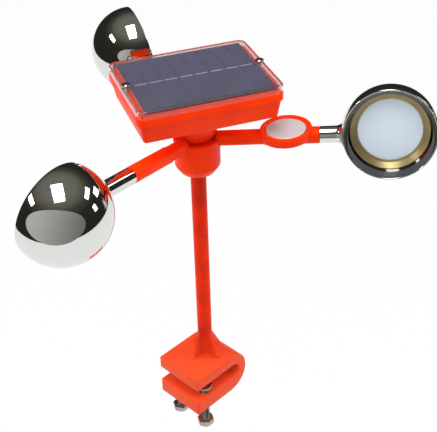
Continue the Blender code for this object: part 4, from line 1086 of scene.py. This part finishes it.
class REPELLER_OT_sleeves(RepellerPiece, bpy.types.Operator):
    """Build the three outer arms, with the round mirror's holder on the right one"""

    bl_idname = "repeller.sleeves"
    bl_label = "Arm Sleeves"

    def execute(self, context):
        sizes = context.scene.repeller_rotor
        room_size = sizes.stub_size + 2 * GAP
        for side in SIDES:
            start, end = sleeve_span(sizes, side)
            sleeve = square_bar(
                f"arm_sleeve_{side}", sizes.sleeve_size, start, end, corner=5 * MM, edge=0.6 * MM
            )
            spigot = rod("spigot", CUP_SPIGOT_RADIUS, end - 7 * MM, end + CUP_SPIGOT_LENGTH, ORANGE, 48)
            join(sleeve, along_x(spigot))
            if side == "right":
                self.add_holder(sleeve, sizes)
            cut(sleeve, square_bar("room", room_size, start - 16 * MM, start, corner=4.5 * MM, edge=0))
            mouth = start - OVERRUN
            bottom = start + SOCKET_DEPTH
            cut(sleeve, square_bar("socket", SOCKET_SIZE, mouth, bottom, corner=2.3 * MM, edge=0))
            placed(sleeve, arm_frame(side))
            dressed(sleeve, "rotor", "orange_plastic", f"sleeve_{side}")
        return {"FINISHED"}

    def add_holder(self, sleeve, sizes):
        """Join the round holder to the sleeve and set the mirror in it."""
        radius = sizes.holder_radius
        top = sizes.holder_top
        seat = top - HOLDER_SEAT_DEPTH
        lip = radius - HOLDER_LIP
        lip_foot = seat + 0.8 * MM
        lip_edge = lip + HOLDER_SLOPE
        outline = [
            (0, 0, 0),
            (radius - 0.6 * MM, 0, 1.0 * MM),
            (radius, top * 0.4, 1 * MM),
            (radius, top, 1.8 * MM),
            (lip_edge, top, 1.2 * MM),
            (lip, lip_foot, 0.4 * MM),
            (lip, seat, 0),
            (0, seat, 0),
        ]
        place = Matrix.Translation((sizes.holder_place, 0, 0))
        join(sleeve, placed(turned("holder", filleted(outline, 6), ORANGE, 96), place))
        over = top + OVERRUN
        recess = [(0, seat), (lip, seat), (lip, lip_foot), (lip_edge, top), (lip_edge, over), (0, over)]
        cut(sleeve, placed(turned("recess", recess, ORANGE, 96), place))
        glass_foot = seat + GAP
        glass_top = glass_foot + 1.8 * MM
        edge = lip - GAP
        glass = [
            (0, glass_foot, 0),
            (edge, glass_foot, 0.2 * MM),
            (edge, glass_top - 0.5 * MM, 0.2 * MM),
            (edge - 1.1 * MM, glass_top, 0.2 * MM),
            (0, glass_top, 0),
        ]
        mirror = turned("round_arm_mirror", filleted(glass), "satin_mirror_film", 96)
        placed(mirror, arm_frame("right") @ place)
        dressed(mirror, "rotor", "grey_mirror", "round_mirror")


class REPELLER_OT_cups(RepellerPiece, bpy.types.Operator):
    """Build the three chromed cups with what is inside them"""

    bl_idname = "repeller.cups"
    bl_label = "Cups"

    def execute(self, context):
        sizes = context.scene.repeller_cups
        for side in SIDES:
            carrier = arm_frame(side) @ Matrix.Translation((sizes.reach, 0, 0))
            turn = Matrix.Rotation(math.pi / 2 - sizes.roll, 4, "X")
            facing = carrier @ turn
            body = f"cup_assembly_{side}"
            start = sleeve_span(context.scene.repeller_rotor, side)[1] + GAP - sizes.reach
            cup = self.shell(f"chromed_cup_{side}", sizes, turn, start)
            dressed(placed(cup, carrier), body, "chrome", f"cup_{side}")
            rings = (
                (self.liner(f"smoked_ring_{side}", sizes), "dark_chrome", f"cup_liner_{side}"),
                (self.bezel(f"gold_ring_{side}", sizes), "gold", f"cup_bezel_{side}"),
                (self.mirror(f"blue_mirror_{side}", sizes), "blue_mirror", f"cup_mirror_{side}"),
            )
            for item, slot, node in rings:
                dressed(placed(item, facing), body, slot, node)
        return {"FINISHED"}

    def shell(self, name, sizes, turn, start):
        """The bowl with its rolled rim and its hollow neck, opening in the turn's Z."""
        outline = []
        inside = sizes.radius - sizes.wall
        rim_outer = math.acos(-sizes.rim_raise / sizes.radius)
        rim_inner = math.acos(-sizes.rim_raise / inside)
        arc_steps = sizes.steps * 3 // 8
        for step in range(arc_steps):
            angle = rim_outer * step / arc_steps
            outline.append((sizes.radius * math.sin(angle), -sizes.radius * math.cos(angle)))
        outer_edge = sizes.radius * math.sin(rim_outer)
        inner_edge = inside * math.sin(rim_inner)
        middle = (outer_edge + inner_edge) / 2
        half = (outer_edge - inner_edge) / 2
        for step in range(RIM_STEPS + 1):
            angle = math.pi * step / RIM_STEPS
            outline.append((middle + half * math.cos(angle), sizes.rim_raise - half + half * math.sin(angle)))
        for step in reversed(range(arc_steps)):
            angle = rim_inner * step / arc_steps
            outline.append((inside * math.sin(angle), -inside * math.cos(angle)))
        cup = placed(turned(name, outline, CHROME, sizes.steps), turn)
        neck = along_x(turned("neck", self.neck_outline(sizes, start), CHROME, 96))
        reach = sizes.radius + 2 * sizes.neck_fillet
        above = rod("above", reach, sizes.rim_raise - 0.2 * MM, sizes.radius, CHROME, 64)
        join(cup, cut(neck, placed(above, turn)))
        bore = rod("bore", CUP_NECK_BORE_RADIUS, start - OVERRUN, -sizes.radius - OVERRUN, CHROME, 48)
        return cut(cup, along_x(bore))

    def neck_outline(self, sizes, start):
        """The neck's outline along its axis, with the fillet by which it widens into the bowl."""
        neck = sizes.neck_radius
        fillet = sizes.neck_fillet
        reach = sizes.radius + fillet
        spread = math.acos((neck + fillet) / reach)
        edge = 0.5 * MM
        points = [(0, start), (neck - edge, start), (neck, start + edge)]
        for step in range(FILLET_STEPS + 1):
            angle = spread * step / FILLET_STEPS
            radius = neck + fillet * (1 - math.cos(angle))
            points.append((radius, fillet * math.sin(angle) - reach * math.sin(spread)))
        middle = sizes.radius - sizes.wall / 2
        edge = points[-1][0]
        return points + [(edge, -math.sqrt(middle**2 - edge**2)), (0, -middle)]

    def liner(self, name, sizes):
        """The smoked chrome ring just inside the rim, hollow towards the opening."""
        top = sizes.rim_raise - 0.8 * MM
        foot = sizes.rim_raise - LINER_DEPTH
        spread = LINER_TOP_RADIUS - LINER_FOOT_RADIUS
        hollow = 0.9 * MM
        thick = 1.3 * MM
        outline = [(LINER_FOOT_RADIUS, foot)]
        for step in range(1, LINER_STEPS + 1):
            share = step / LINER_STEPS
            sag = hollow * math.sin(math.pi * share)
            radius = LINER_FOOT_RADIUS + spread * share + sag
            outline.append((radius, foot + (top - foot) * share - sag * 0.4))
        outline += [(LINER_TOP_RADIUS, top - thick), (LINER_FOOT_RADIUS, foot - thick)]
        return turned(name, outline, "smoked_chrome", sizes.steps)

    def bezel(self, name, sizes):
        """The gold ring round the mirror, with a fine bead at its inner edge."""
        top = sizes.rim_raise - LINER_DEPTH
        foot = sizes.rim_raise - BEZEL_DEPTH
        thick = 1.5 * MM
        bead = foot + 0.9 * MM
        outline = filleted(
            [
                (BEZEL_OUTER_RADIUS, top, 0.5 * MM),
                (BEZEL_OUTER_RADIUS, top - thick, 0.3 * MM),
                (BEZEL_INNER_RADIUS, foot - thick, 0.3 * MM),
                (BEZEL_INNER_RADIUS, foot + 0.6 * MM, 0.5 * MM),
                (32.4 * MM, bead, 0.5 * MM),
                (33.0 * MM, bead, 0.5 * MM),
            ],
            4,
        )
        return turned(name, outline, "turned_gold", sizes.steps)

    def mirror(self, name, sizes):
        """The pale blue mirror, with a ground edge."""
        top = sizes.rim_raise - MIRROR_DEPTH
        foot = top - MIRROR_THICKNESS
        corners = [(0, foot, 0), (MIRROR_RADIUS, foot, 0.2 * MM), (MIRROR_RADIUS, top, 0.6 * MM), (0, top, 0)]
        return turned(name, filleted(corners, 4), "blue_mirror_acrylic", sizes.steps)


class REPELLER_OT_tray(RepellerPiece, bpy.types.Operator):
    """Build the orange tray of the solar box, with the neck under it"""

    bl_idname = "repeller.tray"
    bl_label = "Box Tray"

    def execute(self, context):
        sizes = context.scene.repeller_box
        floor = sizes.floor
        top = sizes.tray_top
        lip_top = top + LIP_HEIGHT
        ledge_foot = lip_top - LEDGE_DEPTH
        profile = filleted(
            [
                (14 * MM, floor, 0),
                (5.5 * MM, floor, 1.8 * MM),
                (2 * MM, top - 8.6 * MM, 0.5 * MM),
                (0, top - 7.7 * MM, 0.6 * MM),
                (0, top, 0.6 * MM),
                (LIP_OUTSIDE, top, 0.3 * MM),
                (LIP_OUTSIDE, lip_top, 0.7 * MM),
                (LIP_INSIDE, lip_top, 0.6 * MM),
                (LIP_INSIDE, ledge_foot, 0),
                (LIP_OUTSIDE, ledge_foot, 0),
                (8 * MM, floor + 2.5 * MM, 0),
            ],
            4,
            False,
        )
        tray = moulded_box(
            "tray_moulding", sizes.half_length, sizes.half_width, sizes.corner, profile, ORANGE
        )
        self.add_neck(tray, floor)
        for side in (-1, 1):
            place = Matrix.Translation((side * sizes.screw_place, 0, 0))
            cut(tray, placed(rod("notch", TRAY_BOSS_RADIUS, top, lip_top + OVERRUN, ORANGE, 40), place))
            boss = rod("boss", TRAY_BOSS_RADIUS, top - 10 * MM, top - 0.1 * MM, ORANGE, 40)
            join(tray, placed(boss, place))
            hole = rod("hole", COVER_HOLE_RADIUS, top - 8 * MM, top + OVERRUN, ORANGE, 32)
            cut(tray, placed(hole, place))
        dressed(placed(tray, box_frame()), "stand", "orange_plastic", "box_tray")
        return {"FINISHED"}

    def add_neck(self, tray, floor):
        """Join the flared neck to the tray's underside and hollow it out."""
        neck_foot = 3.8 * MM
        slope = (BOX_NECK_HEAD_RADIUS - BOX_NECK_FOOT_RADIUS) / (floor - neck_foot)
        head = floor + 1.2 * MM
        flare = BOX_NECK_HEAD_RADIUS + 3 * MM
        neck = [
            (0, neck_foot, 0),
            (BOX_NECK_FOOT_RADIUS, neck_foot, 0.6 * MM),
            (BOX_NECK_HEAD_RADIUS - 1.2 * MM, floor - 2 * MM, 3 * MM),
            (flare, floor, 0),
            (flare, head, 0),
            (0, head, 0),
        ]
        join(tray, turned("neck", filleted(neck, 6), ORANGE, 96))
        ledge = 9.5 * MM
        at_ledge = BOX_NECK_FOOT_RADIUS + slope * (ledge - neck_foot) - BOX_NECK_WALL
        mouth = BOX_NECK_HEAD_RADIUS - BOX_NECK_WALL
        hollow_top = floor + 4.5 * MM
        hollow = [
            (0, neck_foot - OVERRUN),
            (BOX_NECK_BORE_RADIUS, neck_foot - OVERRUN),
            (BOX_NECK_BORE_RADIUS, ledge),
            (at_ledge, ledge),
            (mouth, floor),
            (mouth, hollow_top),
            (0, hollow_top),
        ]
        cut(tray, turned("hollow", hollow, ORANGE, 64))


class REPELLER_OT_cover(RepellerPiece, bpy.types.Operator):
    """Build the clear cover and its two screws"""

    bl_idname = "repeller.cover"
    bl_label = "Clear Cover"

    def execute(self, context):
        sizes = context.scene.repeller_box
        foot = sizes.tray_top + GAP
        top = sizes.cover_top
        ceiling = top - COVER_WALL
        inner_face = 2.5 * MM
        profile = filleted(
            [
                (6 * MM, ceiling, 0),
                (inner_face, ceiling, 0.8 * MM),
                (inner_face, foot, 0.2 * MM),
                (GAP, foot, 0.4 * MM),
                (GAP, top, 2.4 * MM),
                (9 * MM, top, 0),
            ],
            6,
            False,
        )
        cover = moulded_box(
            "clear_cover", sizes.half_length, sizes.half_width, sizes.corner, profile, CLEAR
        )
        for side in (-1, 1):
            place = Matrix.Translation((side * sizes.screw_place, 0, 0))
            boss = rod("boss", COVER_BOSS_RADIUS, foot + GAP, top - COVER_BOSS_DROP, CLEAR, 40)
            join(cover, placed(boss, place))
            hole = rod("hole", COVER_HOLE_RADIUS, foot - OVERRUN, top + OVERRUN, CLEAR, 32)
            cut(cover, placed(hole, place))
        dressed(placed(cover, box_frame()), "stand", "clear_plastic", "box_cover")
        self.add_screws(sizes)
        return {"FINISHED"}

    def add_screws(self, sizes):
        """The two pan-head screws with cross recesses, repeated about the box's middle."""
        foot = sizes.cover_top + GAP
        tip = foot - SCREW_LENGTH
        outline = [
            (0, tip, 0),
            (SCREW_RADIUS, tip, 0.4 * MM),
            (SCREW_RADIUS, foot, 0),
            (SCREW_HEAD_RADIUS, foot, 0.2 * MM),
            (SCREW_HEAD_RADIUS, foot + 1.5 * MM, 1.0 * MM),
            (2.6 * MM, foot + 2.5 * MM, 1.5 * MM),
            (0, foot + 2.6 * MM, 0),
        ]
        screw = turned("cover_screws", filleted(outline, 6), STAINLESS, 48)
        thin = 0.45 * MM
        wing_ends = ((1.2 * MM, foot + 1.1 * MM), (2.3 * MM, foot + 4 * MM))
        for turn in (0, math.pi / 2):
            loops = []
            for half, height in wing_ends:
                corners = ((-half, -thin), (half, -thin), (half, thin), (-half, thin))
                loops.append([(x, y, height) for x, y in corners])
            wing = lofted("wing", loops, STAINLESS)
            wing.data.transform(Matrix.Rotation(turn, 4, "Z"))
            cut(screw, wing)
        placed(screw, Matrix.Translation((sizes.screw_place, 0, 0)))
        copied(screw, 2, (0, 0, 0), math.pi, STAINLESS)
        dressed(placed(screw, box_frame()), "stand", "screw_chrome", "cover_screw_right", "cover_screw_left")


class REPELLER_OT_panel(RepellerPiece, bpy.types.Operator):
    """Build the solar panel and the ribbon on it"""

    bl_idname = "repeller.panel"
    bl_label = "Solar Panel"

    def execute(self, context):
        sizes = context.scene.repeller_box
        low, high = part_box("solar_panel")
        foot = low.z - ARM_HEIGHT
        top = high.z - ARM_HEIGHT
        half_length = sizes.panel_half_length
        inside = 3 * MM
        profile = filleted(
            [(inside, foot, 0), (0, foot, 0.2 * MM), (0, top, 0.3 * MM), (inside, top, 0)], 3, False
        )
        panel = moulded_box(
            "cell_laminate", half_length, sizes.panel_half_width, 1.2 * MM, profile, "solar_laminate", 4
        )
        dressed(placed(panel, box_frame()), "stand", "solar_cells", "solar_panel")
        pitch = 2 * half_length * RIBBON_RUN / sizes.dashes
        ribbon_top = top + 0.12 * MM
        strip = [
            (0.35 * MM, top - 0.1 * MM, 0),
            (0, top, 0),
            (0.1 * MM, ribbon_top, 0),
            (0.3 * MM, ribbon_top, 0),
        ]
        profile = filleted(strip, 1, False)
        half_dash = pitch * RIBBON_HALF_DASH
        dash = moulded_box(
            "cell_ribbon", half_dash, RIBBON_HALF_WIDTH, 0.3 * MM, profile, "tinned_copper", 2
        )
        placed(dash, Matrix.Translation((-pitch * (sizes.dashes - 1) / 2, 0, 0)))
        copied(dash, sizes.dashes, (pitch, 0, 0), 0.0, "tinned_copper")
        placed(dash, box_frame())
        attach(dash, "stand")
        return {"FINISHED"}


class REPELLER_OT_inner_parts(RepellerPiece, bpy.types.Operator):
    """Give the solid pieces that stay their finishes"""

    bl_idname = "repeller.inner_parts"
    bl_label = "Inner Parts"

    def execute(self, context):
        slots = {part["node"]: part["material_slot"] for part in frame["record"]["subparts"]}
        for name, item in frame["nodes"].items():
            material = finish(SLOT_FINISHES[slots[name]])
            item.data.materials.clear()
            item.data.materials.append(material)
        return {"FINISHED"}


# The floor's middle and radius, and the share of its white that shows whatever the light.
FLOOR_PLACE = (-0.5, 1.1)
FLOOR_RADIUS = 3.1
FLOOR_WHITE = 0.95

# The cloth is a ball round the origin. Its colours run from the first height to the second.
CLOTH_RADIUS = 7.0
CLOTH_HEIGHTS = (-1.0, 7.0)
CLOTH_COLOURS = (
    (0.0, "#2B2825"),
    (0.5, "#2D2B29"),
    (0.69, "#45443C"),
    (0.8, "#666258"),
    (0.9, "#72736B"),
    (1.0, "#74756D"),
)

# The card is an oval on a ball round the left cup, in degrees round and up. It is lighter towards one side.
CARD_TURN = -50
CARD_RISE = 7
CARD_HALF_TURN = 60
CARD_HALF_RISE = 36
CARD_DISTANCE = 0.38
CARD_RINGS = 8
CARD_STEPS = 48
CARD_SHADE_WAY = (-0.77, -0.64, 0.35)
CARD_SHADE_RANGE = (-0.15, 0.5)
CARD_COLOURS = ((0.0, "#707070"), (1.0, "#C0C0BD"))

# Each lamp's name, degrees round and up, distance, width, height, twist in degrees, watts, and whether
# mirrors see it.
LAMPS = (
    ("overhead_softbox", -54, 76, 1.9, 0.70, 1.36, 22, 20, True),
    ("left_softbox", -124, 35, 2.0, 0.80, 0.26, -5, 5, True),
    ("rear_softbox", 55, 38, 2.3, 1.05, 0.34, 4, 4, True),
    ("low_rear_softbox", 74, 19, 2.6, 0.80, 0.48, -14, 4, True),
    ("right_softbox", 42, 12, 2.6, 0.40, 0.50, 0, 3, True),
    ("front_fill", -62, 40, 2.2, 1.80, 1.60, 0, 17, False),
    ("left_fill", -150, 28, 2.4, 1.60, 1.40, 0, 28, False),
    ("right_fill", 45, 26, 2.4, 1.40, 1.40, 0, 23, False),
)

# The camera's place, and its degrees round, down and tilted.
CAMERA_PLACE = (0.6163, -0.59, 0.801)
CAMERA_ANGLES = (134.96, 35.07, -1.65)


def compass(turn, rise, distance, height):
    """A point this far off in a direction, in degrees round and up, counted from a height on the Z axis."""
    level = distance * math.cos(math.radians(rise))
    return Vector(
        (
            level * math.cos(math.radians(turn)),
            level * math.sin(math.radians(turn)),
            height + distance * math.sin(math.radians(rise)),
        )
    )


class REPELLER_OT_stage(RepellerPiece, bpy.types.Operator):
    """Build the room, the floor, what only mirrors see, the lamps and the camera"""

    bl_idname = "repeller.stage"
    bl_label = "Stage"

    def execute(self, context):
        sizes = context.scene.repeller_studio
        self.add_world(context, sizes)
        self.add_floor(sizes)
        self.add_cloth()
        self.add_card(context)
        self.add_lamps(sizes)
        self.add_camera(context, sizes)
        context.scene.view_settings.view_transform = "Standard"
        return {"FINISHED"}

    def add_world(self, context, sizes):
        """White for the camera, mirrors and clear plastic, and a softer light for everything else."""
        world = bpy.data.worlds.new("pale_room")
        world.use_nodes = True
        context.scene.world = world
        tree = world.node_tree
        level = {"Value": self.seen(tree), "To Min": sizes.room_light, "To Max": 1.0}
        strength = add_node(tree, "ShaderNodeMapRange", level).outputs["Result"]
        background = tree.nodes["Background"]
        background.inputs["Color"].default_value = (1, 1, 1, 1)
        tree.links.new(strength, background.inputs["Strength"])

    def seen(self, tree):
        """One for what the camera sees, straight, in a mirror or through the cover, and nought for light."""
        rays = add_node(tree, "ShaderNodeLightPath").outputs
        found = rays["Is Camera Ray"]
        for kind in ("Is Glossy Ray", "Is Transmission Ray"):
            either = {0: found, 1: rays[kind]}
            found = add_node(tree, "ShaderNodeMath", either, operation="MAXIMUM").outputs[0]
        return found

    def add_floor(self, sizes):
        """A round white table, well below the clamp, which still takes a soft shadow."""
        bm = bmesh.new()
        place = Matrix.Translation((*FLOOR_PLACE, -sizes.floor_drop))
        bmesh.ops.create_circle(bm, cap_ends=True, segments=128, radius=FLOOR_RADIUS, matrix=place)
        floor = as_object("white_table", bm)
        material, tree, shader = start_material("white_table_paint", (0.9, 0.9, 0.9), 0.9)
        level = {0: self.seen(tree), 1: FLOOR_WHITE}
        share = add_node(tree, "ShaderNodeMath", level, operation="MULTIPLY").outputs[0]
        white = add_node(tree, "ShaderNodeEmission", {"Color": (1, 1, 1, 1), "Strength": 1.0}).outputs[0]
        mix = add_node(tree, "ShaderNodeMixShader", {0: share, 1: shader.outputs[0], 2: white})
        show(tree, mix)
        floor.data.materials.append(material)

    def add_cloth(self):
        """A dark cloth all round, which only mirrors and the clear cover see."""
        bm = bmesh.new()
        bmesh.ops.create_uvsphere(bm, u_segments=48, v_segments=24, radius=CLOTH_RADIUS)
        tree = self.hidden("dark_cloth", bm)
        place = add_node(tree, "ShaderNodeTexCoord").outputs["Object"]
        height = add_node(tree, "ShaderNodeSeparateXYZ", {0: place}).outputs[2]
        self.show_ramp(tree, height, *CLOTH_HEIGHTS, CLOTH_COLOURS)

    def add_card(self, context):
        """A grey card round the left cup, which only mirrors and the clear cover see."""
        bm = bmesh.new()
        left_cup = arm_frame("left") @ Vector((context.scene.repeller_cups.reach, 0, 0))
        middle = bm.verts.new(left_cup + compass(CARD_TURN, CARD_RISE, CARD_DISTANCE, 0))
        rings = []
        for ring in range(1, CARD_RINGS + 1):
            points = []
            for step in range(CARD_STEPS):
                angle = 2 * math.pi * step / CARD_STEPS
                turn = CARD_TURN + CARD_HALF_TURN * ring / CARD_RINGS * math.cos(angle)
                rise = CARD_RISE + CARD_HALF_RISE * ring / CARD_RINGS * math.sin(angle)
                points.append(bm.verts.new(left_cup + compass(turn, rise, CARD_DISTANCE, 0)))
            rings.append(points)
        for step in range(CARD_STEPS):
            after = (step + 1) % CARD_STEPS
            bm.faces.new((middle, rings[0][step], rings[0][after]))
            for inner, outer in zip(rings, rings[1:]):
                bm.faces.new((inner[step], outer[step], outer[after], inner[after]))
        tree = self.hidden("grey_card", bm)
        along = {0: add_node(tree, "ShaderNodeTexCoord").outputs["Object"], 1: CARD_SHADE_WAY}
        shade = add_node(tree, "ShaderNodeVectorMath", along, operation="DOT_PRODUCT").outputs["Value"]
        self.show_ramp(tree, shade, *CARD_SHADE_RANGE, CARD_COLOURS)

    def hidden(self, name, bm):
        """A studio surface that only mirrors and clear plastic meet, not the camera or the lamps' light."""
        item = as_object(name, bm)
        item.visible_camera = False
        item.visible_diffuse = False
        item.visible_volume_scatter = False
        item.visible_shadow = False
        material = bpy.data.materials.new(name)
        material.use_nodes = True
        item.data.materials.append(material)
        return material.node_tree

    def show_ramp(self, tree, value, low, high, stops):
        """Show a surface in colours that run with a value from low to high, whatever the lamps do."""
        spread = {"Value": value, "From Min": low, "From Max": high}
        share = add_node(tree, "ShaderNodeMapRange", spread).outputs["Result"]
        ramp = add_node(tree, "ShaderNodeValToRGB", {0: share})
        elements = ramp.color_ramp.elements
        elements[0].color = linear(stops[0][1])
        elements[1].color = linear(stops[-1][1])
        for place, code in stops[1:-1]:
            elements.new(place).color = linear(code)
        show(tree, add_node(tree, "ShaderNodeEmission", {"Color": ramp.outputs[0], "Strength": 1.0}))

    def add_lamps(self, sizes):
        """Softboxes where the chrome shows them, and three large fills that mirrors don't see."""
        for name, turn, rise, distance, width, height, twist, power, mirrored in LAMPS:
            data = bpy.data.lights.new(name, "AREA")
            data.shape = "RECTANGLE"
            data.size = width
            data.size_y = height
            data.energy = power * sizes.lamp_level
            lamp = bpy.data.objects.new(name, data)
            bpy.context.scene.collection.objects.link(lamp)
            lamp.location = compass(turn, rise, distance, ARM_HEIGHT)
            aim = Vector((0, 0, ARM_HEIGHT)) - lamp.location
            facing = aim.to_track_quat("-Z", "Y").to_matrix()
            lamp.rotation_euler = (facing @ Matrix.Rotation(math.radians(twist), 3, "Z")).to_euler()
            lamp.visible_camera = False
            lamp.visible_glossy = mirrored
            lamp.visible_transmission = False

    def add_camera(self, context, sizes):
        """The photograph's viewing angle."""
        data = bpy.data.cameras.new("camera")
        data.lens = sizes.lens
        data.sensor_width = 36
        data.clip_start = 0.05
        data.clip_end = 50
        camera = bpy.data.objects.new("camera", data)
        context.scene.collection.objects.link(camera)
        turn, fall, tilt = (math.radians(angle) for angle in CAMERA_ANGLES)
        ahead = Vector((math.cos(turn) * math.cos(fall), math.sin(turn) * math.cos(fall), -math.sin(fall)))
        right = Vector((math.sin(turn), -math.cos(turn), 0))
        upwards = right.cross(ahead)
        side = right * math.cos(tilt) + upwards * math.sin(tilt)
        top = upwards * math.cos(tilt) - right * math.sin(tilt)
        turned_frame = Matrix((side, top, -ahead)).transposed().to_4x4()
        camera.matrix_world = Matrix.Translation(CAMERA_PLACE) @ turned_frame
        context.scene.camera = camera


OPERATORS = (
    REPELLER_OT_inner_parts,
    REPELLER_OT_clamp,
    REPELLER_OT_bolts,
    REPELLER_OT_hub,
    REPELLER_OT_sleeves,
    REPELLER_OT_cups,
    REPELLER_OT_tray,
    REPELLER_OT_panel,
    REPELLER_OT_cover,
    REPELLER_OT_stage,
)


class REPELLER_PT_panel(bpy.types.Panel):
    """The repeller's pieces and sizes"""

    bl_idname = "REPELLER_PT_panel"
    bl_label = "Solar Bird Repeller"
    bl_space_type = "VIEW_3D"
    bl_region_type = "UI"
    bl_category = "Repeller"

    def draw(self, context):
        for operator in OPERATORS:
            self.layout.operator(operator.bl_idname)
        for name, group in GROUPS.items():
            box = self.layout.box()
            box.label(text=group.__doc__)
            settings = getattr(context.scene, name)
            for key in group.__annotations__:
                box.prop(settings, key)


CLASSES = (*GROUPS.values(), *OPERATORS, REPELLER_PT_panel)


def register():
    """Register the classes and hang the settings on the scene."""
    for made in CLASSES:
        bpy.utils.register_class(made)
    for name, group in GROUPS.items():
        setattr(bpy.types.Scene, name, bpy.props.PointerProperty(type=group))


def unregister():
    """Undo register."""
    for name in GROUPS:
        delattr(bpy.types.Scene, name)
    for made in reversed(CLASSES):
        bpy.utils.unregister_class(made)


def main():
    """Register the classes and build every piece."""
    register()
    for operator in OPERATORS:
        group, name = operator.bl_idname.split(".")
        getattr(getattr(bpy.ops, group), name)()
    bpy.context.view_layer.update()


if __name__ == "__main__":
    main()
